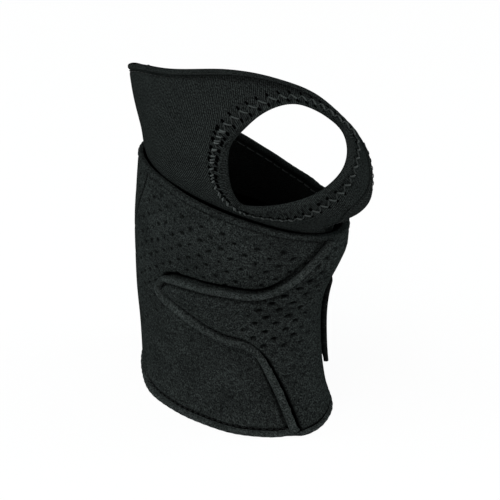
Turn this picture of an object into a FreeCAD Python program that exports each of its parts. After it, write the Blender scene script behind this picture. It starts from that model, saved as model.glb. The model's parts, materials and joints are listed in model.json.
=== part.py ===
import FreeCAD, Part
import math
import os

from FreeCAD import Placement, Rotation, Vector
import Sketcher

# A soft wrist and thumb wrap, millimetres, standing on its hem as if worn.
# +Z runs from the forearm to the fingers, +X to the thumb, and -Y is the side with the flap.

DRIVING = {
    # fabrics
    "cuff_fabric": 3.0,
    "lining_fabric": 0.8,
    "wrap_fabric": 2.8,
    "hand_fabric": 2.4,
    "flap_gap": 0.35,
    "tab_fabric": 2.2,
    "hook_tape": 1.1,
    "tape_skin": 0.6,
    "rolled_edge": 0.5,
    # heights and widths of the edge finishes
    "hem_tape_height": 2.3,
    "hem_wrap": 0.9,
    "rim_tape_height": 2.4,
    "rim_wrap": 0.6,
    "flap_edge_width": 2.8,
    "hand_hem_width": 2.2,
    "thumb_tape_width": 4.4,
    "thumb_tape_inside": 1.9,
    "edge_clearance": 0.4,
    # the cuff's rim: a plane, higher on the flap side
    "rim_height": 82.5,
    "rim_centre_across": 4.0,
    "rim_tilt": 12.25,
    "rim_tilt_facing": 77.5,
    # the drawing plane of the flap and the thumb hole, turned about Z
    "view_turn": 47.0,
    # the outer turn's outline in that plane: across, up, and corner radius
    "tip_across": -35.0,
    "tip_up": 46.9,
    "tip_round": 3.2,
    "upper_bend_across": 10.5,
    "upper_bend_up": 58.4,
    "upper_bend_round": 12.0,
    "upper_end_across": 40.0,
    "upper_end_up": 88.6,
    "wide_across": 70.0,
    "low_end_across": 23.7,
    "low_end_up": -5.0,
    "lower_bend_across": 4.5,
    "lower_bend_up": 34.0,
    "lower_bend_round": 9.0,
    "flap_fold_across": 6.0,
    "hook_from_tip": 10.0,
    "hook_inset": 3.6,
    "hook_from_fold": 5.0,
    # where the outer turn ends behind
    "wrap_end_across": -17.0,
    # the rear tab
    "tab_low": 17.5,
    "tab_high": 50.0,
    "tab_root_across": -11.0,
    "tab_fold_across": -2.0,
    "tab_end_across": 27.5,
    "tab_corner": 5.0,
    "tab_top_corner": 1.5,
    "tab_hook_inset": 3.0,
    # the little-finger side seam of the front cuff panel
    "seam_top_across": -14.0,
    "seam_low_across": -60.0,
    "seam_top_up": 92.0,
    "seam_low_up": 15.6,
    # the front hand panel's rim: up from the little-finger corner, over a round peak and down
    "sleeve_base": 50.0,
    "sleeve_joint_low": 65.0,
    "sleeve_joint_high": 69.0,
    "little_side_across": -50.0,
    "lobe_corner_up": 112.2,
    "lobe_peak_across": 22.0,
    "lobe_peak_up": 137.1,
    "lobe_peak_round": 26.0,
    "lobe_fall_across": 60.0,
    "lobe_fall_up": 108.6,
    # the back hand panel's rim: down from the same corner, low across the back and up to the thumb
    "back_corner_up": 122.0,
    "back_dip_across": -8.0,
    "back_dip_up": 84.2,
    "back_dip_round": 16.0,
    "back_flat_across": 28.0,
    "back_flat_up": 83.4,
    "back_flat_round": 12.0,
    "back_rise_across": 48.5,
    "back_rise_up": 106.0,
    "back_rise_round": 12.0,
    "back_top_across": 36.0,
    "back_top_up": 130.0,
    # the seams between the front and back hand panels
    "seam_depth": -1.0,
    "thumb_seam_bend_up": 90.0,
    "thumb_seam_high_depth": 13.0,
    "thumb_seam_high_up": 118.0,
    "thumb_seam_top_depth": 1.0,
    "thumb_seam_top_up": 129.0,
    "seam_outer_depth": 60.0,
    "seam_outer_up": 145.0,
    "seam_tape_half_width": 2.0,
    "seam_tape_above_rim": 0.5,
    # the thumb hole
    "hole_across": 16.6,
    "hole_up": 110.4,
    "hole_half_long": 19.6,
    "hole_half_short": 14.2,
    "hole_turn": 24.0,
    "hole_from_middle": 26.0,
    # from the wrist's middle to the middle of the whole guard's outline
    "origin_across": 8.45,
    "origin_depth": 0.675,
}

# height, middle across, middle in depth, half width, half depth of each oval section
CUFF_SECTIONS = [
    (0, -2.0, 0.0, 39.6, 24.4),
    (15, -3.6, 0.0, 38.2, 23.5),
    (30, -5.1, 0.0, 38.0, 23.3),
    (45, -4.8, 0.0, 38.6, 23.8),
    (60, -1.2, 0.0, 41.3, 25.3),
    (75, 2.6, 0.0, 43.4, 26.5),
    (92, 4.6, 0.0, 43.6, 26.5),
]
HAND_SECTIONS = [
    (64, 0.6, 0.2, 35.0, 20.4),
    (70, 1.4, 0.1, 35.6, 20.6),
    (76, 2.4, 0.0, 36.0, 20.8),
    (81, 3.8, -0.1, 37.2, 20.9),
    (85, 5.6, 0.0, 39.2, 20.6),
    (90, 9.8, -0.3, 44.8, 22.0),
    (100, 11.2, -1.6, 48.9, 25.2),
    (112, 6.8, -2.0, 48.0, 25.2),
    (124, -1.0, -2.0, 42.3, 22.8),
    (138, -10.0, -2.0, 35.5, 19.0),
]
SECTION_FIELDS = ("height", "across", "depth", "half_width", "half_depth")
SECTIONS = {"cuff": CUFF_SECTIONS, "hand": HAND_SECTIONS}

REACH = 150.0  # half the size of the blocks that trim the fabrics
NODES = {}


def make_sheet(doc):
    """Writes every driving dimension to the spreadsheet, one alias to a cell."""
    sheet = doc.addObject("Spreadsheet::Sheet", "Sizes")
    values = dict(DRIVING)
    for family, rows in SECTIONS.items():
        for index, row in enumerate(rows):
            for field, value in zip(SECTION_FIELDS, row):
                values[f"{family}_{field}_{index}_at"] = value
    for line, (alias, value) in enumerate(values.items(), start=1):
        sheet.set(f"A{line}", alias)
        sheet.set(f"B{line}", str(value))
        sheet.setAlias(f"B{line}", alias)
    doc.recompute()
    return sheet


doc = FreeCAD.newDocument("WristGuard")
sizes = make_sheet(doc)


def size(alias):
    return float(sizes.get(alias))


def bind(target, **expressions):
    """Binds properties to sheet expressions; a double underscore stands for a dot."""
    for name, expression in expressions.items():
        target.setExpression(name.replace("__", "."), expression)


def cell(alias):
    return f"Sizes.{alias}"


# ---------------------------------------------------------------- building blocks


def tube(name, family, grow="0"):
    """The solid inside one fabric surface: a loft through the family's ovals, each grown alike."""
    ovals = []
    for index in range(len(SECTIONS[family])):
        at = {field: cell(f"{family}_{field}_{index}_at") for field in SECTION_FIELDS}
        oval = doc.addObject("Part::Ellipse", f"{name}Oval{index}")
        oval.MajorRadius = REACH  # the long radius always has to be above the short one
        bind(
            oval,
            MinorRadius=f"{at['half_depth']} + {grow}",
            MajorRadius=f"{at['half_width']} + {grow}",
            Placement__Base__x=at["across"],
            Placement__Base__y=at["depth"],
            Placement__Base__z=at["height"],
        )
        ovals.append(oval)
    loft = doc.addObject("Part::Loft", name)
    loft.Sections = ovals
    loft.Solid = True
    loft.MaxDegree = 3
    return loft


def join(kind, name, base, tool):
    made = doc.addObject(f"Part::{kind}", name)
    made.Base = base
    made.Tool = tool
    return made


def cut(name, base, *tools):
    for index, tool in enumerate(tools):
        base = join("Cut", f"{name}Cut{index}", base, tool)
    return base


def common(name, base, *tools):
    for index, tool in enumerate(tools):
        base = join("Common", f"{name}Common{index}", base, tool)
    return base


def fuse(name, first, second):
    return join("Fuse", name, first, second)


def shell(name, family, outside, inside):
    """A fabric layer between two grown copies of the family's surface."""
    return cut(name, tube(f"{name}Outside", family, outside), tube(f"{name}Inside", family, inside))


def block(name, turn=0.0, **faces):
    """A trimming block that fills space between the faces given; each face is an expression."""
    made = doc.addObject("Part::Box", name)
    turned = Rotation(Vector(0, 0, 1), turn)
    made.Placement = Placement(Vector(), turned)
    low = {axis: faces.get(f"{axis}_from", str(-REACH)) for axis in "xyz"}
    high = {axis: faces.get(f"{axis}_to", str(REACH)) for axis in "xyz"}
    along = {axis: turned.multVec(Vector(*(float(axis == other) for other in "xyz"))) for axis in "xyz"}
    for place in "xyz":
        terms = [f"({low[axis]}) * {getattr(along[axis], place):.9f}" for axis in "xyz"]
        made.setExpression(f"Placement.Base.{place}", " + ".join(terms))
    bind(
        made,
        Length=f"({high['x']}) - ({low['x']})",
        Width=f"({high['y']}) - ({low['y']})",
        Height=f"({high['z']}) - ({low['z']})",
    )
    return made


def outline(name, corners, turn=0.0):
    """A closed sketch on an upright plane, turned about Z, whose corners are pairs of sheet cells."""
    sketch = doc.addObject("Sketcher::SketchObject", name)
    upright = Rotation(Vector(0, 0, 1), turn).multiply(Rotation(Vector(1, 0, 0), 90))
    sketch.Placement = Placement(Vector(), upright)
    points = [Vector(size(across), size(up), 0) for across, up in corners]
    count = len(points)
    for index, point in enumerate(points):
        sketch.addGeometry(Part.LineSegment(point, points[(index + 1) % count]), False)
    for index, (across, up) in enumerate(corners):
        sketch.addConstraint(Sketcher.Constraint("Coincident", index, 2, (index + 1) % count, 1))
        for kind, alias in (("DistanceX", across), ("DistanceY", up)):
            held = sketch.addConstraint(Sketcher.Constraint(kind, -1, 1, index, 1, size(alias)))
            label = f"corner{index}{kind}"
            sketch.renameConstraint(held, label)
            sketch.setExpression(f"Constraints.{label}", cell(alias))
    return sketch


def prism(name, profile):
    """The profile pushed both ways along its own normal."""
    made = doc.addObject("Part::Extrusion", name)
    made.Base = profile
    made.DirMode = "Normal"
    made.LengthFwd = 2 * REACH
    made.Symmetric = True
    made.Solid = True
    return made


def inset(name, profile, expression):
    """The profile moved inwards by a sheet expression, with its corners kept sharp."""
    made = doc.addObject("Part::Offset2D", name)
    made.Source = profile
    made.Join = "Intersection"
    bind(made, Value=f"-({expression})")
    return made


def rounded(name, solid, rounds, turn=0.0):
    """Rounds the prism's edges nearest to the corners given as (across cell, up cell, radius)."""
    doc.recompute()
    side = Rotation(Vector(0, 0, 1), turn).multVec(Vector(1, 0, 0))
    edges = []
    for across, up, radius in rounds:
        corner = Vector(size(across), size(up), 0)
        reach = []
        for index, edge in enumerate(solid.Shape.Edges, start=1):
            ends = [vertex.Point for vertex in edge.Vertexes]
            flat = [Vector(point.dot(side), point.z, 0) for point in ends]
            if (flat[0] - flat[-1]).Length < 1e-6 < (ends[0] - ends[-1]).Length:
                reach.append(((flat[0] - corner).Length, index))
        edges.append((min(reach)[1], radius, radius))
    made = doc.addObject("Part::Fillet", name)
    made.Base = solid
    made.Edges = edges
    return made


def node(name, feature):
    """Names a finished sub-part and moves it to the guard's own origin."""
    feature.Label = name
    bind(feature, Placement__Base__x="-Sizes.origin_across", Placement__Base__y="-Sizes.origin_depth")
    NODES[name] = feature


# ---------------------------------------------------------------- shared trimming shapes


def above_rim(name, lower):
    """Everything above the cuff's tilted rim plane moved down by the distance given in millimetres."""
    made = doc.addObject("Part::Box", name)
    made.Length = made.Width = 2 * REACH
    made.Height = REACH
    facing = math.radians(size("rim_tilt_facing"))
    tilted = Rotation(Vector(-math.sin(facing), math.cos(facing), 0), size("rim_tilt"))
    middle = Vector(size("rim_centre_across"), 0, size("rim_height"))
    made.Placement = Placement(middle + tilted.multVec(Vector(-REACH, -REACH, -lower)), tilted)
    return made


VIEW_TURN = size("view_turn")
EDGE = size("flap_edge_width")
OUTER_TURN = [
    ("tip_across", "tip_up"),
    ("lower_bend_across", "lower_bend_up"),
    ("low_end_across", "low_end_up"),
    ("wide_across", "low_end_up"),
    ("wide_across", "upper_end_up"),
    ("upper_end_across", "upper_end_up"),
    ("upper_bend_across", "upper_bend_up"),
]
LOBE = [
    ("little_side_across", "sleeve_base"),
    ("wide_across", "sleeve_base"),
    ("wide_across", "lobe_fall_up"),
    ("lobe_fall_across", "lobe_fall_up"),
    ("lobe_peak_across", "lobe_peak_up"),
    ("little_side_across", "lobe_corner_up"),
]
BACK = [
    ("little_side_across", "sleeve_base"),
    ("wide_across", "sleeve_base"),
    ("wide_across", "back_top_up"),
    ("back_top_across", "back_top_up"),
    ("back_rise_across", "back_rise_up"),
    ("back_flat_across", "back_flat_up"),
    ("back_dip_across", "back_dip_up"),
    ("little_side_across", "back_corner_up"),
]
THUMB_SEAM = [
    ("seam_depth", "sleeve_base"),
    ("seam_outer_depth", "sleeve_base"),
    ("seam_outer_depth", "seam_outer_up"),
    ("thumb_seam_top_depth", "seam_outer_up"),
    ("thumb_seam_top_depth", "thumb_seam_top_up"),
    ("thumb_seam_high_depth", "thumb_seam_high_up"),
    ("seam_depth", "thumb_seam_bend_up"),
]
LITTLE_SEAM = [
    ("seam_top_across", "seam_top_up"),
    ("seam_low_across", "seam_top_up"),
    ("seam_low_across", "seam_low_up"),
]


def outline_prism(name, profile, rounds, turn=0.0):
    """A prism of the profile, with the corners listed as (corner, radius) rounded."""
    solid = prism(f"{name}Prism", profile)
    return rounded(f"{name}Rounded", solid, [(*corner, radius) for corner, radius in rounds], turn)


def outer_turn_prisms():
    """The whole outer turn, the part inside its edge finishes, and the part the hook patch may cover."""
    sketch = outline("OuterTurn", OUTER_TURN, VIEW_TURN)
    tip, low, high = OUTER_TURN[0], OUTER_TURN[1], OUTER_TURN[-1]
    whole = [(tip, size("tip_round")), (low, size("lower_bend_round")), (high, size("upper_bend_round"))]
    within = [
        (tip, size("tip_round") - EDGE),
        (low, size("lower_bend_round") + EDGE),
        (high, size("upper_bend_round") + EDGE),
    ]
    full = outline_prism("OuterTurn", sketch, whole, VIEW_TURN)
    inner = inset("OuterTurnInset", sketch, cell("flap_edge_width"))
    hook = inset("HookInset", sketch, cell("hook_inset"))
    return (
        full,
        outline_prism("OuterTurnInner", inner, within, VIEW_TURN),
        prism("HookPrism", hook),
    )


def hand_prisms(name, corners, rounds):
    """A hand panel's outline and the same outline inside its hem."""
    sketch = outline(name, corners)
    hem = size("hand_hem_width")
    smaller = inset(f"{name}Inset", sketch, cell("hand_hem_width"))
    outer = outline_prism(name, sketch, [(corner, radius) for corner, radius, _ in rounds])
    inner = outline_prism(
        f"{name}Inner", smaller, [(corner, radius - hem * bulge) for corner, radius, bulge in rounds]
    )
    return outer, inner


# ---------------------------------------------------------------- the cuff


def make_cuff():
    """The cuff's front and back panels, its lining and the two bindings that close its edges."""
    inside = f"-{cell('cuff_fabric')}"
    lined = f"{inside} - {cell('lining_fabric')}"
    skin = cell("tape_skin")
    rim_wrap = above_rim("AboveRimWrap", size("rim_wrap"))
    hem_wrap = block("BelowHemWrap", z_to=cell("hem_wrap"))
    wall = cut("CuffWallTrim", shell("CuffWall", "cuff", "0", inside), rim_wrap, hem_wrap)

    seam = prism("LittleSeamPrism", outline("LittleSeam", LITTLE_SEAM))
    seam = common("LittleSeamNear", seam, block("FrontHalf", y_to="0"))
    behind = fuse("BackRegion", block("BackHalf", y_from="0"), seam)
    node("cuff_front_panel", cut("CuffFront", wall, behind))
    node("cuff_back_panel", common("CuffBack", wall, behind))

    lining = shell("CuffLining", "cuff", inside, lined)
    node("cuff_lining", cut("CuffLiningTrim", lining, rim_wrap, hem_wrap))

    core = shell("BindingCore", "cuff", "0", lined)
    wrap = shell("BindingWrap", "cuff", skin, f"{lined} - {skin}")
    hem = common("HemTapeRing", wrap, block("HemTapeSlab", z_from="0", z_to=cell("hem_tape_height")))
    node("cuff_bottom_binding", cut("HemTape", hem, cut("HemTapeCore", core, hem_wrap)))

    rim = common("RimTapeRing", wrap, above_rim("RimTapeFrom", size("rim_tape_height")))
    rim = cut("RimTapeTop", rim, above_rim("RimTapeTo", 0.0))
    node("cuff_top_binding", cut("RimTape", rim, cut("RimTapeCore", core, rim_wrap)))


# ---------------------------------------------------------------- the outer turn and its flap


def make_outer_turn():
    """The turn of the wrap over the thumb side, and the pointed flap that peels away from the cuff."""
    full, inner, hook_area = outer_turn_prisms()
    near = block("NearHalf", y_to="0")
    edge = cut("OuterTurnEdge", common("FullNear", full, near), inner)
    inner_near = common("InnerNear", inner, near)
    half_gap = f"{cell('edge_clearance')} / 2"
    fold = cell("flap_fold_across")
    flap_side = block("FlapSide", VIEW_TURN, x_to=f"{fold} - {half_gap}")
    thumb_side = block("ThumbSide", VIEW_TURN, x_from=f"{fold} + {half_gap}")
    upper = block("AboveTip", z_from=cell("tip_up"))
    lower = block("BelowTip", z_to=cell("tip_up"))
    rim = above_rim("AboveOuterTurn", size("rim_tape_height"))
    hem = block("BelowOuterTurn", z_to=cell("hem_tape_height"))

    wrap = cell("wrap_fabric")
    rolled = f"{wrap} + {cell('rolled_edge')}"
    behind = block("WrapBehind", y_from="0", x_from=cell("wrap_end_across"))
    region = fuse("SideRegion", common("SideNear", inner_near, thumb_side), behind)
    side = cut("SideTrim", shell("SideWall", "cuff", wrap, "0"), rim, hem)
    node("side_panel", common("SidePanel", side, region))
    side_edge = cut("SideEdgeTrim", shell("SideEdgeWall", "cuff", rolled, "0"), rim, hem)
    side_edge = common("SideEdge", side_edge, edge, thumb_side)
    node("side_upper_hem", common("SideUpperHem", side_edge, upper))
    node("side_lower_binding", common("SideLowerBinding", side_edge, lower))

    gap = cell("flap_gap")
    hook_wall = shell("FlapHookWall", "cuff", f"{gap} + {cell('hook_tape')}", gap)
    hook_span = block(
        "HookSpan",
        VIEW_TURN,
        x_from=f"{cell('tip_across')} + {cell('hook_from_tip')}",
        x_to=f"{fold} - {cell('hook_from_fold')}",
    )
    hook_region = common("FlapHookRegion", hook_area, near, hook_span)
    pocket = common("FlapHookPocket", hook_wall, hook_region)
    node("flap_hook_patch", common("FlapHook", pocket, near))
    flap_wall = shell("FlapWall", "cuff", f"{gap} + {wrap}", gap)
    flap = common("Flap", flap_wall, common("FlapRegion", inner_near, flap_side))
    node("flap_panel", cut("FlapPanel", flap, pocket))
    flap_edge = common("FlapEdge", shell("FlapEdgeWall", "cuff", f"{gap} + {rolled}", gap), edge, flap_side)
    node("flap_upper_hem", common("FlapUpperHem", flap_edge, upper))
    node("flap_lower_binding", common("FlapLowerBinding", flap_edge, lower))


# ---------------------------------------------------------------- the rear tab


def tab_block(name, x_from, x_to, inset_by="0"):
    return block(
        name,
        y_from="0",
        x_from=x_from,
        x_to=x_to,
        z_from=f"{cell('tab_low')} + {inset_by}",
        z_to=f"{cell('tab_high')} - {inset_by}",
    )


def make_rear_tab():
    """A tongue of hook tape behind the thumb side: its sewn root and the end that peels."""
    under = cell("wrap_fabric")
    lifted = f"{under} + {cell('flap_gap')}"
    outer = f"{lifted} + {cell('tab_fabric')}"
    half_gap = f"{cell('edge_clearance')} / 2"
    fold = cell("tab_fold_across")
    root = tab_block("TabRootBlock", cell("tab_root_across"), f"{fold} - {half_gap}")
    node("rear_tab_root", common("TabRoot", shell("TabRootWall", "cuff", outer, under), root))

    hook_inset = cell("tab_hook_inset")
    hook_end = f"{cell('tab_end_across')} - {hook_inset}"
    hook_block = tab_block("TabHookBlock", f"{fold} + {hook_inset}", hook_end, hook_inset)
    hook_wall = shell("TabHookWall", "cuff", f"{lifted} + {cell('hook_tape')}", lifted)
    pocket = common("TabHookPocket", hook_wall, hook_block)
    node("rear_tab_hook", common("TabHook", pocket, block("TabHookHalf", y_from="0")))

    tongue = tab_block("TabBlock", f"{fold} + {half_gap}", cell("tab_end_across"))
    ends = [("tab_end_across", "tab_low", size("tab_corner"))]
    ends.append(("tab_end_across", "tab_high", size("tab_top_corner")))
    tongue = rounded("TabRounded", tongue, ends)
    tab = common("Tab", shell("TabWall", "cuff", outer, lifted), tongue)
    node("rear_tab", cut("TabPanel", tab, pocket))


# ---------------------------------------------------------------- the hand sleeve


def hole_prism(name, grow):
    """The thumb hole: an oval on the drawing plane, grown by an expression, through the near wall."""
    oval = doc.addObject("Part::Ellipse", f"{name}Oval")
    bind(
        oval,
        MajorRadius=f"{cell('hole_half_long')} + {grow}",
        MinorRadius=f"{cell('hole_half_short')} + {grow}",
    )
    turned = Rotation(Vector(0, 0, 1), VIEW_TURN)
    upright = turned.multiply(Rotation(Vector(1, 0, 0), 90))
    leaning = upright.multiply(Rotation(Vector(0, 0, 1), size("hole_turn")))
    middle = upright.multVec(Vector(size("hole_across"), size("hole_up"), size("hole_from_middle")))
    oval.Placement = Placement(middle, leaning)
    made = prism(name, oval)
    made.Symmetric = False
    made.LengthFwd = REACH
    return made


def make_hand_sleeve():
    """The front and back hand panels, their hems and seams, and the binding round the thumb hole."""
    peak = LOBE[4]
    rounds = [(peak, size("lobe_peak_round"), 1)]
    lobe, lobe_inner = hand_prisms("Lobe", LOBE, rounds)
    rise, flat, dip = BACK[4], BACK[5], BACK[6]
    rounds = [
        (rise, size("back_rise_round"), 1),
        (flat, size("back_flat_round"), -1),
        (dip, size("back_dip_round"), -1),
    ]
    back, back_inner = hand_prisms("BackRim", BACK, rounds)

    seam_sketch = outline("ThumbSeam", THUMB_SEAM, 90.0)
    thumb_half = block("ThumbHalf", x_from="0")
    little_half = block("LittleHalf", x_to="0", y_from=cell("seam_depth"))
    seam_prism = prism("ThumbSeamPrism", seam_sketch)
    behind = fuse("BehindSeams", common("BehindThumbSeam", seam_prism, thumb_half), little_half)

    inside = f"-{cell('hand_fabric')}"
    rolled = cell("rolled_edge")
    wall = shell("HandWall", "hand", "0", inside)
    hemmed = shell("HandHemWall", "hand", rolled, f"{inside} - {rolled}")
    tape_inside = f"{cell('thumb_tape_width')} - {cell('thumb_tape_inside')}"
    panel_hole = hole_prism("PanelHole", tape_inside)
    front = cut("HandFrontRegion", lobe_inner, behind, panel_hole)
    node("hand_front_panel", common("HandFront", wall, front))
    node("hand_back_panel", common("HandBack", wall, common("HandBackRegion", behind, back_inner)))
    top = cut("TopHemRegion", lobe, lobe_inner, behind)
    node("hand_top_hem", common("TopHem", hemmed, top))
    low = cut("BackHemRegion", common("BackHemBehind", back, behind), back_inner)
    node("hand_back_hem", common("BackHem", hemmed, low))

    skin = cell("tape_skin")
    ring = cut(
        "ThumbTapeRing",
        common("ThumbTapeUnderHem", hole_prism("TapeOuter", cell("thumb_tape_width")), lobe_inner),
        hole_prism("TapeInner", "0"),
        low,
    )
    tape = common("ThumbTape", shell("ThumbTapeWall", "hand", skin, f"{inside} - {skin}"), ring)
    node("thumb_hole_binding", cut("ThumbTapeSlot", tape, cut("HandWallHole", wall, panel_hole)))

    seam_wall = shell("SeamWall", "hand", skin, "0")
    over_rim = above_rim("SeamAboveRim", -size("seam_tape_above_rim"))
    half = cell("seam_tape_half_width")
    wide = prism("ThumbSeamWide", inset("ThumbSeamOutset", seam_sketch, f"-{half}"))
    narrow = prism("ThumbSeamNarrow", inset("ThumbSeamInset", seam_sketch, half))
    strip = common("ThumbSeamStrip", cut("ThumbSeamBand", wide, narrow), thumb_half, over_rim)
    strip = common("ThumbSeamUnderHems", strip, back_inner, lobe_inner)
    strip = cut("ThumbSeamClear", strip, hole_prism("SeamStop", cell("thumb_tape_width")))
    node("thumb_side_seam", common("ThumbSeamTape", seam_wall, strip))
    depth = cell("seam_depth")
    little = block("LittleSeamBlock", x_to="0", y_from=f"{depth} - {half}", y_to=f"{depth} + {half}")
    little = common("LittleSeamStrip", little, over_rim, lobe_inner, back_inner)
    node("little_finger_seam", common("LittleSeamTape", seam_wall, little))

    slab = block("JoiningSlab", z_from=cell("sleeve_joint_low"), z_to=cell("sleeve_joint_high"))
    lined = f"-{cell('cuff_fabric')} - {cell('lining_fabric')}"
    joining = common("JoiningCore", tube("JoiningOutside", "cuff", lined), slab)
    node("sleeve_joining_tape", cut("JoiningTape", joining, tube("JoiningInside", "hand")))


# ---------------------------------------------------------------- checks and export


def check(label, shape):
    if shape.isNull() or not shape.isValid():
        raise RuntimeError(f"{label} has no valid shape")
    if not shape.Solids:
        raise RuntimeError(f"{label} holds no solid")


def export():
    doc.recompute()
    for made in doc.Objects:
        if "Invalid" in made.State or "Error" in made.State:
            raise RuntimeError(f"{made.Name} did not recompute: {made.State}")
    for name, feature in NODES.items():
        check(name, feature.Shape)
    whole = Part.makeCompound([feature.Shape for feature in NODES.values()]).optimalBoundingBox(False)
    print("box", whole)
    os.makedirs("parts", exist_ok=True)
    for name, feature in NODES.items():
        print(f"{name}: {len(feature.Shape.Solids)} solid(s), {feature.Shape.Volume / 1000:.2f} cm3")
        feature.Shape.exportStep(f"parts/{name}.step")


make_cuff()
make_outer_turn()
make_rear_tab()
make_hand_sleeve()
export()
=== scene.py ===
import json
import math
from collections import namedtuple

import bpy
import numpy as np
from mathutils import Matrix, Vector


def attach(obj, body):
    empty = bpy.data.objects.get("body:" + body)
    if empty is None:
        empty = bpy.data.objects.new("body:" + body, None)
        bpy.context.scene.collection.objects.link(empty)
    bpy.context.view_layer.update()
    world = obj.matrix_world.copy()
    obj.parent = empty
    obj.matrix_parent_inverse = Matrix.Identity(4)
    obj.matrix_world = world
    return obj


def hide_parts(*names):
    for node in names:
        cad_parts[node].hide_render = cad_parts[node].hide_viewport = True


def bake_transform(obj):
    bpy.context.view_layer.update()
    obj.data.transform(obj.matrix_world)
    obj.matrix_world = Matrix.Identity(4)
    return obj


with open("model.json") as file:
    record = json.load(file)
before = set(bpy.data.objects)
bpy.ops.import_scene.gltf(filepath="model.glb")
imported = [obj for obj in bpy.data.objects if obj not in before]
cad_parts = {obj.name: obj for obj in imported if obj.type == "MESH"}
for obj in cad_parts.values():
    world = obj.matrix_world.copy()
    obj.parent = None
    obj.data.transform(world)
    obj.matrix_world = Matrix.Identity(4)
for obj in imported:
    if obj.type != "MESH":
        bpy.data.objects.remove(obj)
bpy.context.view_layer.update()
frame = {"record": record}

# A soft wrist and thumb wrap. Lengths are millimetres until mesh_object writes them in metres.
# A place on the cuff or the sleeve is (angle, height): the angle in degrees round the tube's
# oval section, 0 at the thumb and -90 at the flap side, and the height up from the hem.

MM = 0.001
ORIGIN = np.array([8.45, 0.675, 0.0])  # from the wrist's middle to the middle of the guard's outline

# height, middle across, middle in depth, half width, half depth of each oval section
CUFF_SECTIONS = [
    (0, -2.0, 0.0, 39.6, 24.4),
    (15, -3.6, 0.0, 38.2, 23.5),
    (30, -5.1, 0.0, 38.0, 23.3),
    (45, -4.8, 0.0, 38.6, 23.8),
    (60, -1.2, 0.0, 41.3, 25.3),
    (75, 2.6, 0.0, 43.4, 26.5),
    (92, 4.6, 0.0, 43.6, 26.5),
]
HAND_SECTIONS = [
    (64, 0.6, 0.2, 35.0, 20.4),
    (70, 1.4, 0.1, 35.6, 20.6),
    (76, 2.4, 0.0, 36.0, 20.8),
    (81, 3.8, -0.1, 37.2, 20.9),
    (85, 5.6, 0.0, 39.2, 20.6),
    (90, 9.8, -0.3, 44.8, 22.0),
    (100, 11.2, -1.6, 48.9, 25.2),
    (112, 6.8, -2.0, 48.0, 25.2),
    (124, -1.0, -2.0, 42.3, 22.8),
    (138, -10.0, -2.0, 35.5, 19.0),
]
# depth, waves round the tube, millimetres up per radian and phase of the cloth's uneven swell
CUFF_WAVES = [(0.30, 3, 17.0, 0.4), (0.16, 7, -9.0, 2.0), (0.08, 13, 6.0, 1.1)]
HAND_WAVES = [(0.20, 3, 21.0, 2.2), (0.10, 8, -11.0, 0.3)]

# thicknesses of the layers
CUFF_FABRIC = 3.0
LINING = 0.8
WRAP_FABRIC = 2.8
HAND_FABRIC = 1.8
TAB_FABRIC = 1.8
HOOK_TAPE = 1.1
HOOK_REACH = 0.3  # how far the hooks stand out from their tape
HOOK_ROW = 0.65  # between two rows of hooks
HOOK_RADIUS = 0.4
FLAP_GAP = 0.35  # between the flap and the cuff beneath
WRAP_TOP = FLAP_GAP + WRAP_FABRIC
TAB_TOP = WRAP_TOP + TAB_FABRIC

# the tapes round the cuff's hem and rim, and how far they step out over the outer turn
TAPE_SKIN = 0.6
HEM_HEIGHT = 1.9
HEM_LIFT = 2.2
HEM_FLARE, HEM_FLARE_HEIGHT = 2.9, 4.5
RIM_MEAN, RIM_TILT = 82.5, 6.0  # how high the rim lies, and how far it rises on the flap side
RIM_HEIGHT = 2.0
RIM_SKIN = 0.2
RIM_WALL = 1.9
RIM_THINNING = 2.0
RIM_LIFT = 1.0
WALL_FOOT = 0.9  # where the wall starts, inside the hem's tape
LINING_DROP = 0.8  # how far below the rim the lining ends
PUCKER, PUCKER_PITCH = 0.06, 3.1  # how deep and how far apart a sewn tape puckers
RING_LENGTH = 230  # about the girth of the cuff's rim
MEAN_RADIUS = 36.0

# the seams of the cuff's front panel: one slants outward below its top, one is beside the thumb
SEAM_TOP, SEAM_ACROSS, SEAM_LEAN = 92.0, -14.0, 0.602
THUMB_SEAM_GAP = 0.5

# the outer turn: its rolled edge, its upright end behind, and the hook patch under the flap
ROLL = 2.9
ROLL_RISE = 0.75
NAP = 0.07  # how uneven the rolled edge is
WRAP_END = 115.0
HOOK_START, HOOK_END = -87.0, -52.0
HOOK_INSET = 4.0
TUCK = 0.4  # how far its cloth runs under the tapes
FOLD_DIRECTION = (-0.5, -0.866, 0.0)

# the rear tab, up from the hem and across from the wrist's middle
TAB_LOW, TAB_HIGH = 16.4, 50.0
TAB_ROOT, TAB_END = -11.0, 32.5
TAB_SEWN = -4.6
TAB_INSET = 1.9  # from the tab's border to its stitches
TAB_HOOK = (1.0, 24.5, 20.5, 47.0)  # across from and to, up from and to

# the sleeve
HAND_HEMS = {"front": 1.8, "back": 2.4}
SLEEVE_BASE = 65.0
JOIN_HEIGHT = 69.0
STRIP_FOOT = 84.0
THUMB_STRIP_TOP, LITTLE_STRIP_TOP = 111.0, 108.4
RIM_TUCK = 0.5  # how far the cloth ends below the line of its hem
CORNER_ANGLE = 31.0
SEAM_WIDTH = 2.6
SEAM_RISE = 0.7
RIB_PITCH, RIB_DEPTH = 0.55, 0.11
BAND_FACE = 0.68  # how far the ribbed band's face stands out
BAND_COVER = 1.6  # how far the band's edge reaches past the cloth's
DOUBLED_BEFORE = -64.0  # the zigzag is sewn twice below this angle

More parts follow.
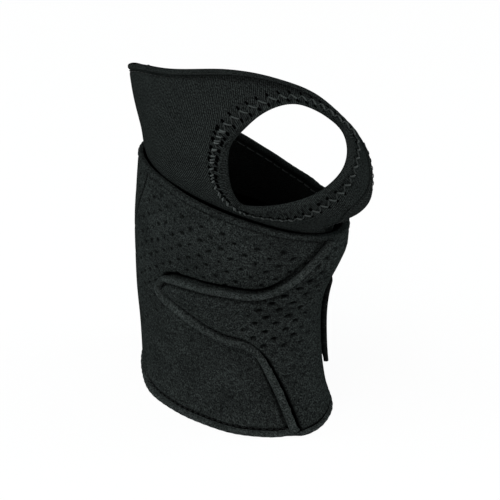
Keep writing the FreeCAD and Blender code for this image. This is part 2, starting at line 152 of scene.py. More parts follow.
# each row of stitches: pitch, stitch length, how far a thread bows out, and its radius
Stitch = namedtuple("Stitch", "pitch length lift radius")
CUFF_STITCH = Stitch(2.4, 1.7, 0.25, 0.16)
ROLL_STITCH = Stitch(2.2, 1.5, 0.30, 0.17)
TAB_STITCH = Stitch(2.6, 1.9, 0.22, 0.20)
HEM_STITCH = Stitch(3.0, 2.1, 0.20, 0.15)
INSIDE_STITCH = Stitch(4.2, 3.8, -0.25, 0.24)
STRIP_STITCH = Stitch(2.6, 1.8, 0.18, 0.14)

CLOTH_UV = "cloth"
THREAD_TWIST = 3.0  # UV length of one stitch
# painted shade on the inner faces of the sleeve, its hems and the thumb band
INNER_PAINTED_SHADE = 0.55
CUTS = {}  # each sheet's flat width, length and area, from its UV pattern


# ---------------------------------------------------------------- curves and surfaces


class Curve:
    """A natural cubic spline through rows; a row's first number is its place along the curve."""

    def __init__(self, rows):
        rows = np.array(rows, float)
        self.knots = rows[:, 0]
        self.values = rows[:, 1:]
        gaps = np.diff(self.knots)
        slopes = np.diff(self.values, axis=0) / gaps[:, None]
        system = np.eye(len(rows))
        right = np.zeros_like(self.values)
        for i in range(1, len(rows) - 1):
            system[i, i - 1 : i + 2] = gaps[i - 1], 2 * (gaps[i - 1] + gaps[i]), gaps[i]
            right[i] = 6 * (slopes[i] - slopes[i - 1])
        self.bends = np.linalg.solve(system, right)

    def __call__(self, at):
        at = np.asarray(at, float)
        span = np.clip(np.searchsorted(self.knots, at) - 1, 0, len(self.knots) - 2)
        gap = (self.knots[span + 1] - self.knots[span])[..., None]
        after = (at - self.knots[span])[..., None]
        before = gap - after
        start, end = self.values[span], self.values[span + 1]
        bend_start, bend_end = self.bends[span], self.bends[span + 1]
        curved = bend_start * (before**3 / gap - gap * before) + bend_end * (after**3 / gap - gap * after)
        return (start * before + end * after) / gap + curved / 6


def ramp(at, start, end):
    """0 before start, 1 after end, smooth between."""
    share = np.clip((np.asarray(at, float) - start) / (end - start), 0, 1)
    return share * share * (3 - 2 * share)


def fade(at, start, end):
    """1 before start, 0 after end, smooth between."""
    return 1 - ramp(at, start, end)


def lengths(points):
    """How far along a row of points each one lies."""
    return np.concatenate([[0], np.cumsum(np.linalg.norm(np.diff(points, axis=0), axis=1))])


def unit(vectors):
    """The same directions, one unit long."""
    return vectors / np.linalg.norm(vectors, axis=-1)[..., None]


def closed_up(line):
    """A closed line's points with the first one again at the end."""
    return np.vstack([line, line[:1]])


def read_off(at, length, line):
    """The (angle, height) points that lie this far along a line whose own points lie at length."""
    return np.column_stack([np.interp(at, length, line[:, k]) for k in (0, 1)])


def turned(angle):
    """The same angle between -180 and 180 degrees."""
    return (np.asarray(angle, float) + 180) % 360 - 180


class Tube:
    """A soft tube whose level sections are ovals. Every layer lies at some distance outside it."""

    def __init__(self, sections, girth_height, waves):
        self.oval = Curve(sections)
        self.waves = waves
        self.push = None  # an outward push, as a function of angle and height
        turn = np.linspace(-np.pi * 1.5, np.pi * 1.5, 1081)
        _, _, width, depth = self.oval(girth_height)
        step = np.hypot(width * np.sin(turn), depth * np.cos(turn))
        length = np.concatenate([[0], np.cumsum((step[1:] + step[:-1]) / 2 * np.diff(turn))])
        self.girth_at = (np.degrees(turn), length - np.interp(0, turn, length))

    def section(self, height):
        """The oval at a height: its middle across and in depth, its half width and half depth."""
        return np.moveaxis(self.oval(height), -1, 0)

    def girth(self, angle):
        """Millimetres round the tube from the thumb side."""
        return np.interp(angle, *self.girth_at)

    def sway(self, angle, height):
        """The soft uneven swell that all layers share."""
        turn = np.radians(angle)
        total = 0.0
        for depth, turns, rise, phase in self.waves:
            total = total + depth * np.sin(turns * turn + height / rise + phase)
        return total if self.push is None else total + self.push(angle, height)

    def at(self, angle, height, out=0.0):
        """The points that lie out millimetres outside the tube at these places."""
        angle, height, out = np.broadcast_arrays(
            np.asarray(angle, float), np.asarray(height, float), np.asarray(out, float)
        )
        across, depth, half_width, half_depth = self.section(height)
        turn = np.radians(angle)
        out = out + self.sway(angle, height)
        x = across + (half_width + out) * np.cos(turn)
        y = depth + (half_depth + out) * np.sin(turn)
        return np.stack([x, y, height], -1) - ORIGIN


def rim_height(angle):
    """The cuff's rim: a tilted plane, highest on the flap side."""
    return RIM_MEAN + RIM_TILT * np.cos(np.radians(np.asarray(angle, float) + 110))


def hem_flare(angle, height):
    """The hem stands away from the wrist in front and on the thumb side."""
    angle = turned(angle)
    reach = ramp(angle, -146, -98) * (0.35 + 0.65 * ramp(angle, 5, -35)) * ramp(angle, 80, 30)
    return HEM_FLARE * np.exp(-((height / HEM_FLARE_HEIGHT) ** 2)) * reach


CUFF = Tube(CUFF_SECTIONS, 45, CUFF_WAVES)
CUFF.push = hem_flare
HAND = Tube(HAND_SECTIONS, 100, HAND_WAVES)


def gap_to_cuff(angle, height, inward):
    """How far out from the sleeve's face the cuff lies, at this depth below the cuff's own face."""
    near, far = np.zeros_like(angle), np.full_like(angle, 14.0)
    across, depth, half_width, half_depth = CUFF.section(height)
    for _ in range(24):
        middle = (near + far) / 2
        x, y, _ = np.moveaxis(HAND.at(angle, height, middle) + ORIGIN, -1, 0)
        beyond = ((x - across) / (half_width - inward)) ** 2 + ((y - depth) / (half_depth - inward)) ** 2 > 1
        far = np.where(beyond, middle, far)
        near = np.where(beyond, near, middle)
    return near


ROOM_ANGLES = np.linspace(-180.0, 180.0, 73)
RIM_ROOM = gap_to_cuff(ROOM_ANGLES, rim_height(ROOM_ANGLES), RIM_WALL)


def sleeve_push(angle, height):
    """The sleeve fills out to the cuff's rim in front, and stays clear of it behind the thumb."""
    angle = turned(angle)
    above = np.asarray(height, float) - rim_height(angle)
    reach = np.where(above > 0, 9.0 - 2.5 * ramp(angle, -50, -25), 4.0)
    snug = ramp(angle, -178, -150) * ramp(angle, 16, 4)
    clear = 0.1 + 0.7 * ramp(angle, -105, -140)
    return (np.interp(angle, ROOM_ANGLES, RIM_ROOM) - clear) * np.exp(-((above / reach) ** 2)) * snug


HAND.push = sleeve_push


def path(tube, points, step, closed=False):
    """A smooth line through (angle, height) points, in even steps of about step millimetres."""
    points = np.array(points, float)
    if closed:
        points = np.vstack([points[-3:], points, points[:4]])
    knots = lengths(tube.at(*points.T))
    curve = Curve(np.column_stack([knots, points]))
    first, last = (knots[3], knots[-4]) if closed else (0, knots[-1])
    dense = curve(np.linspace(first, last, 2001))
    length = lengths(tube.at(*dense.T))
    count = max(4, int(round(length[-1] / step)))
    even = np.linspace(0, length[-1], count + 1)
    return read_off(even[:-1] if closed else even, length, dense)


def frames(tube, line, closed):
    """For each point of a line: how far along it lies, and the (angle, height) step of one
    millimetre to its left, seen from outside."""
    angle, height = line.T
    nudge = 0.05
    here = tube.at(angle, height)
    along_angle = (tube.at(angle + nudge, height) - tube.at(angle - nudge, height)) / (2 * nudge)
    along_height = (tube.at(angle, height + nudge) - tube.at(angle, height - nudge)) / (2 * nudge)
    normal = unit(np.cross(along_angle, along_height))
    if closed:
        forward = np.roll(here, -1, axis=0) - np.roll(here, 1, axis=0)
        along = lengths(closed_up(here))
    else:
        forward = np.gradient(here, axis=0)
        along = lengths(here)
    left = np.cross(normal, unit(forward))
    across_angle = (left * along_angle).sum(1) / (along_angle**2).sum(1)
    across_height = (left * along_height).sum(1) / (along_height**2).sum(1)
    return along, np.column_stack([across_angle, across_height])


def moved(tube, line, across, closed=False):
    """The line moved sideways on the surface, to its left where across is positive."""
    return line + frames(tube, line, closed)[1] * across


def distance_to(tube, line, angle, height):
    """Millimetres over the cloth from each place of a grid to a line of (angle, height) points."""
    girth, line_girth = tube.girth(angle), tube.girth(line[:, 0])
    rows = [np.hypot(g[:, None] - line_girth, h[:, None] - line[:, 1]).min(1) for g, h in zip(girth, height)]
    return np.array(rows)


def inset(across, start, end, height, low, high):
    """How far inside a box each place lies; negative outside it."""
    return np.minimum(np.minimum(across - start, end - across), np.minimum(height - low, high - height))


# ---------------------------------------------------------------- mesh building


def linked(name, data):
    """A new object in the scene."""
    made = bpy.data.objects.new(name, data)
    bpy.context.scene.collection.objects.link(made)
    return made


def mesh_object(name, points, faces, uv, material, painted_shade=None):
    """A mesh object from points in millimetres, with a UV map in millimetres of cloth."""
    used, faces = np.unique(np.asarray(faces), return_inverse=True)
    mesh = bpy.data.meshes.new(name)
    mesh.from_pydata((points[used] * MM).tolist(), [], faces.reshape(-1, 4).tolist())
    corners = np.empty(len(mesh.loops), np.int32)
    mesh.loops.foreach_get("vertex_index", corners)
    layer = mesh.uv_layers.new(name=CLOTH_UV)
    layer.data.foreach_set("uv", uv[used][corners].astype(np.float32).ravel())
    # an attribute of painted shade, by which the cloth materials darken
    if painted_shade is not None:
        attribute = mesh.attributes.new("painted_shade", "FLOAT", "POINT")
        attribute.data.foreach_set("value", painted_shade[used].astype(np.float32))
    mesh.polygons.foreach_set("use_smooth", np.ones(len(mesh.polygons), bool))
    mesh.materials.append(material)
    mesh.update()
    return linked(name, mesh)


def shell(name, tube, angle, height, outer, inner, material, keep=None, painted_shade=0.0, inner_painted_shade=0.0):
    """A cloth layer on a grid of places, from the outer distance to the inner one, with closed edges.

    keep marks the grid's squares that exist. The last two arguments give the painted shade on the outer
    face's points and on the inner face's points."""
    index = np.arange(angle.size).reshape(angle.shape)
    quads = np.stack([index[:-1, :-1], index[:-1, 1:], index[1:, 1:], index[1:, :-1]], -1)
    quads = quads.reshape(-1, 4) if keep is None else quads[keep]
    edges = np.concatenate([quads[:, [k, (k + 1) % 4]] for k in range(4)])
    _, first, count = np.unique(np.sort(edges, axis=1), axis=0, return_index=True, return_counts=True)
    border = edges[first[count == 1]]
    beyond = angle.size
    walls = np.column_stack([border[:, 1], border[:, 0], border[:, 0] + beyond, border[:, 1] + beyond])
    faces = np.concatenate([quads, quads[:, ::-1] + beyond, walls])
    points = np.concatenate([tube.at(angle, height, out).reshape(-1, 3) for out in (outer, inner)])
    uv = np.stack([tube.girth(angle), height], -1).reshape(-1, 2)
    dark = np.concatenate([np.broadcast_to(painted_shade, angle.shape).ravel(), np.full(beyond, inner_painted_shade)])
    corners = uv[quads]
    area = np.abs(np.cross(corners[:, 2] - corners[:, 0], corners[:, 3] - corners[:, 1]).sum() / 2)
    size = corners.reshape(-1, 2).max(0) - corners.reshape(-1, 2).min(0)
    CUTS[name] = (size[0] * MM, size[1] * MM, area * MM * MM)
    return mesh_object(name, points, faces, np.concatenate([uv, uv]), material, dark)


def squares(rings):
    """The squares between neighbouring rings of points, given as the points' numbers."""
    near, far = rings[..., :-1, :], rings[..., 1:, :]
    return np.stack([near, np.roll(near, -1, -1), np.roll(far, -1, -1), far], -1).reshape(-1, 4)


def sweep(name, tube, line, section, material, closed=False, side=None, grow=None, ripple=None, painted_shade=0.0):
    """Carries a closed cross-section along a line on the tube.

    The section is (across, out) pairs. side is the (angle, height) step of one unit across, and
    one millimetre to the line's left where it isn't given. grow(share along) scales and lifts the
    section: it gives (across factor, out factor, lift). ripple(along, section) adds to out. The last
    argument gives the painted shade on each of the section's points."""
    section = np.asarray(section, float)
    along, left = frames(tube, line, closed)
    side = left if side is None else side
    count, ring = len(line), len(section)
    across = np.broadcast_to(section[:, 0], (count, ring))
    out = np.broadcast_to(section[:, 1], (count, ring))
    distance = along[:count, None]
    if grow is not None:
        wide, thick, lift = (np.reshape(v, (-1, 1)) for v in grow(along[:count] / along[-1]))
        across = across * wide
        out = out * thick + lift
    if ripple is not None:
        out = out + ripple(distance, section)
    points = tube.at(line[:, :1] + side[:, :1] * across, line[:, 1:] + side[:, 1:] * across, out)
    uv = np.stack(np.broadcast_arrays(distance, lengths(section)[None, :]), -1)
    index = np.arange(count * ring).reshape(count, ring)
    faces = [squares(closed_up(index) if closed else index)]
    if not closed:
        half = ring // 2
        for end in (index[0][::-1], index[-1]):
            back = end[::-1]
            faces.append(np.stack([end[: half - 1], end[1:half], back[1:half], back[: half - 1]], -1))
    dark = np.broadcast_to(painted_shade, (count, ring)).ravel()
    return mesh_object(name, points.reshape(-1, 3), np.concatenate(faces), uv.reshape(-1, 2), material, dark)


def roll_section(width, high, low, points, square):
    """A rounded flat roll from 0 to -width across and from low to high out."""
    turn = np.linspace(0, 2 * np.pi, points, endpoint=False) + np.pi / points
    reach = (np.abs(np.cos(turn)) ** square + np.abs(np.sin(turn)) ** square) ** (-1 / square)
    across = -width / 2 + width / 2 * reach * np.cos(turn)
    out = (high + low) / 2 + (high - low) / 2 * reach * np.sin(turn)
    return np.column_stack([across, out])


def threads(name, tube, stitches, out, lift, radius, material):
    """Short bowed threads between pairs of (angle, height) places; lift is negative on an inner face."""
    steps, ring = 7, 6
    share = np.linspace(0, 1, steps)
    turn = np.linspace(0, 2 * np.pi, ring, endpoint=False)
    starts, ends = np.moveaxis(np.array(stitches, float), 1, 0)
    angle = starts[:, :1] + (ends - starts)[:, :1] * share
    height = starts[:, 1:] + (ends - starts)[:, 1:] * share
    dip = np.sign(lift) * 0.25 * np.abs(2 * share - 1) ** 6
    bow = np.reshape(out, (-1, 1)) + lift * np.sin(np.pi * share) ** 0.7 - dip
    middle = tube.at(angle, height, bow)
    above = tube.at(angle, height, bow + 1) - middle
    forward = unit(np.gradient(middle, axis=1))
    left = unit(np.cross(above, forward))
    above = np.cross(forward, left)
    thick = radius * np.sqrt(np.clip(1 - (2 * share - 1) ** 8, 0.05, 1))
    spread = thick[:, None, None] * (
        np.cos(turn)[:, None] * left[:, :, None, :] + np.sin(turn)[:, None] * above[:, :, None, :]
    )
    points = middle[:, :, None, :] + spread
    index = np.arange(len(stitches) * steps * ring).reshape(-1, steps, ring)
    faces = [squares(index)]
    for end, order in ((index[:, 0], -1), (index[:, -1], 1)):
        for corners in ([0, 1, 2, 3], [0, 3, 4, 5]):
            faces.append(end[:, corners][:, ::order])
    uv = np.empty(points.shape[:3] + (2,))
    uv[..., 0] = share[None, :, None] * THREAD_TWIST
    uv[..., 1] = turn
    return mesh_object(name, points.reshape(-1, 3), np.concatenate(faces), uv.reshape(-1, 2), material)


def running(tube, line, pitch, length):
    """Evenly spaced stitches of one length along a line, as pairs of (angle, height) places."""
    far = lengths(tube.at(*line.T))
    starts = np.arange(0.5, far[-1] - length, pitch)
    return list(zip(read_off(starts, far, line), read_off(starts + length, far, line)))


def sewn(name, tube, lines, stitch, out, material):
    """Rows of stitches along lines; out is a number, or a function of the stitches' angles."""
    stitches = [pair for line in lines for pair in running(tube, line, stitch.pitch, stitch.length)]
    if callable(out):
        out = out(np.array([(start[0] + end[0]) / 2 for start, end in stitches]))
    return threads(name, tube, stitches, out, stitch.lift, stitch.radius, material)


def studs(name, tube, places, radius, out, rise, material):
    """Small closed lenses that stand rise above the cloth; a negative rise is on an inner face."""
    sides = 8
    turn = np.linspace(0, 2 * np.pi, sides, endpoint=False)
    places = np.asarray(places, float)
    radius = np.reshape(np.broadcast_to(radius, len(places)), (-1, 1))
    per_degree = math.radians(MEAN_RADIUS)  # millimetres along the cloth
    rings = []
    for reach, lift in ((0.35, rise), (1.0, 0.0), (0.5, -0.3 * np.sign(rise))):
        angle = places[:, :1] + radius * reach / per_degree * np.cos(turn)
        height = places[:, 1:] + radius * reach * np.sin(turn)
        rings.append(tube.at(angle, height, out + lift))
    points = np.stack(rings, 1)
    index = np.arange(len(places) * 3 * sides).reshape(len(places), 3, sides)
    faces = [squares(index)[:, [0, 3, 2, 1]]]
    for ends in ([0, 1, 2, 3], [0, 3, 4, 7], [4, 5, 6, 7]):
        faces.append(index[:, 0][:, ends])
        faces.append(index[:, 2][:, ends[::-1]])
    faces = np.concatenate(faces)
    if rise < 0:
        faces = faces[:, ::-1]
    return mesh_object(name, points.reshape(-1, 3), faces, np.zeros((points.size // 3, 2)), material)


def hook_patch(name, angle, height, cloth, places):
    """A patch of hook tape whose hooks reach inward as far as the cloth's inner face."""
    face = cloth + HOOK_REACH
    tape = shell(name + "_tape", CUFF, angle, height, face + HOOK_TAPE - HOOK_REACH, face, HOOK)
    return tape, studs(name + "s", CUFF, places, HOOK_RADIUS, face, -HOOK_REACH, HOOK)


def hashed(first, second, salt):
    """A repeatable number from 0 to 1 for each pair of whole numbers."""
    mixed = np.sin(first * 127.1 + second * 311.7 + salt * 74.7) * 43758.5453
    return mixed - np.floor(mixed)


class Lattice:
    """Staggered rows of holes punched through a cloth."""

    def __init__(self, across, up, first, long, short, lean, salt):
        self.across, self.up, self.first = across, up, first
        self.long, self.short, self.salt = long, short, salt
        self.cosine, self.sine = math.cos(math.radians(lean)), math.sin(math.radians(lean))

    def depth(self, girth, height):
        """1 in the middle of a hole, 0 away from it."""
        girth, height = girth - self.first[0], height - self.first[1]
        deepest = np.zeros(girth.shape)
        for stagger in (0.0, 0.5):
            column = np.round(girth / self.across - stagger)
            row = np.round(height / self.up - stagger)
            slip = (hashed(column, row, self.salt + stagger) - 0.5) * 0.09 * self.across
            drop = (hashed(row, column, self.salt + 5 + stagger) - 0.5) * 0.11 * self.up
            beside = girth - (column + stagger) * self.across - slip
            above = height - (row + stagger) * self.up - drop
            swell = 0.8 + 0.4 * hashed(column, row, self.salt + 9 + stagger)
            along = (beside * self.cosine + above * self.sine) / (self.long * swell)
            aside = (above * self.cosine - beside * self.sine) / (self.short * swell)
            deepest = np.maximum(deepest, ramp(np.hypot(along, aside), 1.4, 0.35))
        return deepest


CUFF_HOLES = Lattice(across=7.6, up=6.2, first=(4.35, 5.2), long=0.95, short=0.75, lean=20, salt=1)
TURN_HOLES = Lattice(across=6.2, up=6.3, first=(1.35, 1.2), long=1.15, short=0.72, lean=15, salt=4)


def edge_fall(distance, width, depth):
    """How far a cloth's face falls within width of its edge."""
    share = np.clip(1 - np.asarray(distance) / width, 0, 1)
    return depth * (1 - np.sqrt(np.clip(1 - share**2, 0, 1)))


# ---------------------------------------------------------------- materials

COOL = (0.87, 1.0, 0.96)  # the tint of every black


class Wires:
    """A node tree being wired: each call adds a node and returns an output of it."""

    def __init__(self, owner):
        owner.use_nodes = True
        self.tree = owner.node_tree
        self.nodes = self.tree.nodes

    def put(self, socket, value):
        """Links an output to the socket, or sets the socket's own value."""
        if isinstance(value, bpy.types.NodeSocket):
            self.tree.links.new(value, socket)
        else:
            socket.default_value = value

    def add(self, kind, output, settings=(), **inputs):
        made = self.nodes.new("ShaderNode" + kind)
        for label, value in settings:
            setattr(made, label, value)
        for label, value in inputs.items():
            self.put(made.inputs[label.replace("_", " ")], value)
        return made.outputs[output]

    def math(self, operation, first, second=0.0, clamp=False):
        made = self.nodes.new("ShaderNodeMath")
        made.operation = operation
        made.use_clamp = clamp
        self.put(made.inputs[0], first)
        self.put(made.inputs[1], second)
        return made.outputs[0]

    def times(self, *factors):
        total = factors[0]
        for factor in factors[1:]:
            total = self.math("MULTIPLY", total, factor)
        return total

    def seen_directly(self):
        """1 where the camera looks straight at a surface, or in a mirror or glass."""
        rays = self.nodes.new("ShaderNodeLightPath").outputs
        total = rays["Is Camera Ray"]
        for label in ("Is Glossy Ray", "Is Transmission Ray"):
            total = self.math("MAXIMUM", total, rays[label])
        return total

    def show(self, output, share, first, second):
        """Sends a mix of two shaders to the tree's output: the second one where share is 1."""
        mix = self.nodes.new("ShaderNodeMixShader")
        for socket, value in zip(mix.inputs, (share, first, second)):
            self.put(socket, value)
        self.put(self.nodes[output].inputs["Surface"], mix.outputs[0])


class Shader(Wires):
    """A material being wired."""

    def __init__(self, name):
        self.material = bpy.data.materials.new(name)
        super().__init__(self.material)
        self.surface = self.nodes["Principled BSDF"]

    def cloth(self, turn=0.0, up=1.0):
        """Millimetres along the cloth, turned by degrees and stretched."""
        place = self.add("UVMap", "UV", [("uv_map", CLOTH_UV)])
        turned_by = (0, 0, math.radians(turn))
        return self.add("Mapping", "Vector", Vector=place, Rotation=turned_by, Scale=(1, up, 1))

    def noise(self, place, scale, detail=2.0, roughness=0.6):
        return self.add("TexNoise", "Fac", Vector=place, Scale=scale, Detail=detail, Roughness=roughness)

    def waves(self, place, direction, scale, wander, detail_scale=1.0):
        """Lines that lie across this direction."""
        settings = [("bands_direction", direction)]
        look = {"Scale": scale, "Distortion": wander, "Detail": 2.0, "Detail_Scale": detail_scale}
        return self.add("TexWave", "Fac", settings, Vector=place, **look)

    def spread(self, value, low, high, to_low, to_high):
        """Stretches a value, so that low to high becomes to_low to to_high."""
        reach = {"From_Min": low, "From_Max": high, "To_Min": to_low, "To_Max": to_high}
        return self.add("MapRange", "Result", Value=value, **reach)

    def bump(self, value, depth):
        normal = self.add("Bump", "Normal", Height=value, Distance=depth * MM, Strength=1.0)
        self.put(self.surface.inputs["Normal"], normal)

    def outside_painted_shade(self):
        """Falls to 0 where the mesh paints shade: in the creases and punched holes that it marks, along
        grooves and on inner faces.
        """
        crease = self.add("Attribute", "Fac", [("attribute_name", "painted_shade")])
        return self.math("SUBTRACT", 1.0, crease, clamp=True)

    def finish(self, tone, base, roughness, specular=0.0):
        """A cool black of this base brightness, varied by tone."""
        scaling = [("operation", "SCALE")]
        colour = self.add("VectorMath", "Vector", scaling, Scale=self.times(tone, base), Vector=COOL)
        self.put(self.surface.inputs["Base Color"], colour)
        self.surface.inputs["Roughness"].default_value = roughness
        self.surface.inputs["Specular IOR Level"].default_value = specular
        return self.material


def napped(name, base, contrast=0.8):
    """Brushed nylon loop: matted fibres in tufts, a cloudy tone and painted shade in creases and holes."""
    shader = Shader(name)
    lint = shader.noise(shader.cloth(35, 0.75), 2.3)
    tuft = shader.noise(shader.cloth(), 0.8)
    cloud = shader.noise(shader.cloth(), 0.09, roughness=0.5)
    tone = shader.times(
        shader.spread(lint, 0.37, 0.63, 1 - contrast, 1 + contrast),
        shader.spread(tuft, 0.36, 0.64, 0.62, 1.38),
        shader.spread(cloud, 0.3, 0.7, 0.78, 1.22),
        # darker where the mesh paints shade
        shader.outside_painted_shade(),
    )
    shader.bump(shader.math("ADD", shader.times(lint, 0.6), tuft), 0.30)
    return shader.finish(tone, base, roughness=0.95)


def knitted(name, base, turn, pitch, contrast):
    """Fine stretch knit, whose lines run at turn degrees, one every pitch millimetres."""
    shader = Shader(name)
    lines = shader.waves(shader.cloth(turn), "X", math.pi / 10 / pitch, wander=0.6, detail_scale=1.5)
    fuzz = shader.noise(shader.cloth(), 2.0)
    cloud = shader.noise(shader.cloth(), 0.16, detail=3.0)
    tone = shader.times(
        shader.spread(lines, 0.0, 1.0, 1 - contrast, 1 + contrast),
        shader.spread(fuzz, 0.38, 0.62, 0.3, 1.7),
        shader.spread(cloud, 0.3, 0.7, 0.84, 1.16),
        # darker where the mesh paints shade
        shader.outside_painted_shade(),
    )
    shader.bump(shader.math("ADD", shader.times(lines, 0.5), fuzz), 0.14)
    return shader.finish(tone, base, roughness=0.9)


def spun(name, base, specular):
    """Sewing thread: a fine twist along each stitch."""
    shader = Shader(name)
    twist = shader.waves(shader.cloth(), "DIAGONAL", scale=0.8, wander=0.5)
    shader.bump(twist, 0.05)
    return shader.finish(shader.spread(twist, 0, 1, 0.6, 1.3), base, roughness=0.6, specular=specular)


def hooked(name, base):
    """Rough hook tape: close bumpy specks, painted lighter as glints where they catch the light."""
    shader = Shader(name)
    place = shader.cloth()
    look = {"Scale": 1.4, "Randomness": 0.8}
    speck = shader.add("TexVoronoi", "Distance", [("feature", "F1")], Vector=place, **look)
    patchy = shader.spread(shader.noise(place, 1.6), 0.35, 0.65, 0.4, 1.7)
    # painted glints: lighter in the middle of each speck
    tone = shader.times(shader.spread(speck, 0.0, 0.45, 1.9, 0.5), patchy)
    shader.bump(shader.times(speck, -1.0), 0.5)
    return shader.finish(tone, base, roughness=0.75, specular=0.03)


WRAP = napped("wrap_napped_cloth", 0.0144)
TURN = napped("outer_turn_napped_cloth", 0.0145)
# a lighter copy of the napped cloth for the rolled edges and the hem tape: its extra brightness is painted
# light that the rolls catch
EDGE = napped("rolled_edge_cloth_lit", 0.0215, 0.7)
SLEEVE = knitted("sleeve_stretch_knit", 0.0120, turn=40, pitch=0.6, contrast=0.6)
RIBBED = knitted("thumb_ribbed_knit", 0.0136, turn=0, pitch=RIB_PITCH, contrast=0.65)
LINER = knitted("inner_lining_knit", 0.0045, turn=20, pitch=0.8, contrast=0.25)
TAB_FACE = hooked("rear_tab_face_rough", 0.0050)
HOOK = hooked("hook_tape_moulded", 0.004)
THREAD = spun("seam_thread_grey", 0.036, 0.12)
DOUBLED_THREAD = spun("seam_thread_doubled", 0.062, 0.15)
# painted shade: a darker copy of the grey zigzag thread, for the strokes that lie in shade
SHADED_RETURN_THREAD = spun("seam_thread_in_shade", 0.024, 0.08)
DARK_THREAD = spun("seam_thread_black", 0.006, 0.1)
# painted highlight: a lighter copy of the black seam thread for the stitches inside the hem, standing in for
# the light along the hem's inner lip
LIT_INSIDE_THREAD = spun("hem_thread_inside", 0.022, 0.05)
# painted shadow: near-black, for the shade inside the zigzag's needle holes
NEEDLE_HOLE_SHADOW = spun("needle_hole_shadow", 0.0008, 0.0)


# ---------------------------------------------------------------- lines on the cuff and the sleeve

# the outer turn's edge in (angle, height) points: from the rim to the flap's tip and down to the hem
UPPER_EDGE = [
    (-99.2, 48.2), (-96.2, 51.4), (-88.2, 53.8), (-70.5, 55.9), (-55.0, 57.4),
    (-43.0, 57.9), (-33.0, 60.2), (-22.0, 67.0), (-12.0, 74.6), (-4.5, 79.8),
]
TIP = [(-100.2, 45.6)]
LOWER_EDGE = [
    (-98.2, 42.8), (-87.2, 39.9), (-74.3, 37.6), (-61.4, 34.9), (-51.0, 33.6), (-42.5, 32.9),
    (-36.5, 30.3), (-31.8, 25.2), (-26.2, 17.2), (-21.8, 9.6), (-18.6, 2.2),
]
# the sleeve's rim, the thumb hole's edge and the line of the zigzag round it
FRONT_RIM = [
    (-180, 111.6), (-172, 113.4), (-165, 115.0), (-152, 117.5), (-136, 120.7), (-124, 123.6), (-99, 127.8),
    (-68, 132.3), (-48, 134.0), (-32, 133.9), (-12, 131.8), (5, 128.4), (18, 123.4), (31, 114.8),
]
BACK_RIM = [
    (31, 114.8), (38, 102.0), (45, 90.5), (52, 85.0), (66, 83.5), (77, 83.6), (88, 84.1), (98, 85.1),
    (108, 86.2), (117, 87.6), (123, 88.6), (135, 91.2), (150, 97.5), (165, 104.5), (180, 112.0),
]
HOLE_EDGE = [
    (-58.0, 117.4), (-66.0, 113.2), (-70.8, 107.5), (-72.6, 101.5), (-72.8, 96.1), (-70.0, 92.8),
    (-63.2, 93.2), (-46.2, 97.7), (-31.2, 101.6), (-15.2, 106.3), (2.2, 111.1), (12.2, 114.7),
    (14.2, 116.7), (9.0, 120.3), (-2.5, 124.2), (-16.5, 126.3), (-32.2, 125.2), (-44.8, 122.3),
]
ZIGZAG = [
    (-60.0, 120.5), (-69.5, 115.4), (-75.2, 109.8), (-78.5, 104.0), (-79.4, 98.6), (-75.8, 93.1),
    (-65.0, 89.8), (-54.2, 90.4), (-45.5, 91.5), (-31.8, 96.7), (-16.8, 102.4), (-3.2, 107.1),
    (8.2, 110.9), (18.5, 113.3), (21.5, 115.2), (17.0, 119.0), (6.5, 124.0), (-8.5, 127.9),
    (-22.0, 128.5), (-36.8, 127.0), (-47.0, 124.7),
]
# height and angle of the seam between the sleeve's front and back on the thumb side
THUMB_SEAM = [
    (65.0, 1.0), (78.0, 3.0), (84.0, -2.0), (88.5, -8.0), (92.0, -10.5), (95.0, -9.0),
    (96.8, -3.0), (98.3, 5.0), (100.0, 14.0), (103.5, 23.0), (108.5, 29.0), (114.3, 31.0),
]
# the ribbed band's section: 0 at the thumb hole's edge to 1 at the zigzag, and millimetres out
BAND_LIP = [
    (1.0, 0.15), (0.9, 0.40), (0.75, 0.50), (0.60, 0.52), (0.48, 0.60), (0.38, 0.80), (0.30, 0.92),
    (0.22, 0.80), (0.13, 0.40), (0.06, -0.1), (0.0, -0.8), (-0.01, -1.4), (0.04, -2.0), (0.15, -2.3),
    (0.35, -2.4), (0.6, -2.3), (0.7, -1.8), (0.75, -1.1), (0.85, -0.6), (1.0, -0.2),
]


def smooth(points):
    """A function that reads a smooth line: its second number for each first number."""
    curve = Curve(points)
    return lambda at: curve(at)[..., 0]


def always(value):
    """A function that gives one value everywhere."""
    return lambda at: np.full_like(at, value, float)


FLAP_UPPER = smooth(UPPER_EDGE[1:])
FLAP_LOWER = smooth(LOWER_EDGE)
RIMS = {"front": smooth(FRONT_RIM), "back": smooth(BACK_RIM)}


def level_line(start, end, count, height_of, below=0.0):
    """A line from one angle to another, this far below the height that height_of(angle) gives."""
    turn = np.linspace(start, end, count)
    return np.column_stack([turn, height_of(turn) - below])


def ring_line(height_of, step=0.6):
    """A closed line round the tube at the height that height_of(angle) gives."""
    turn = np.linspace(-180, 180, int(RING_LENGTH / step), endpoint=False)
    return np.column_stack([turn, height_of(turn)])


def evenly(tube, border, count):
    """The border line in count even steps over the cloth."""
    length = lengths(np.column_stack([tube.girth(border[:, 0]), border[:, 1]]))
    return read_off(np.linspace(0, length[-1], count), length, border)


# ---------------------------------------------------------------- the cuff


def wrap_lift(angle):
    """1 where the outer turn pushes the bindings outward, on the thumb side, and 0 elsewhere."""
    return ramp(angle, -22, -8) * ramp(angle, WRAP_END + 4, WRAP_END - 6)


def seam_angle(height):
    """The slanting seam on the little-finger side of the front panel."""
    across, _, half_width, _ = CUFF.section(height)
    reach = SEAM_ACROSS - SEAM_LEAN * (SEAM_TOP - np.asarray(height, float))
    return -np.degrees(np.arccos(np.clip((reach - across) / half_width, -1, 1)))


def seam_from_behind(height):
    """The same seam, reached round the back."""
    return seam_angle(height) + 360


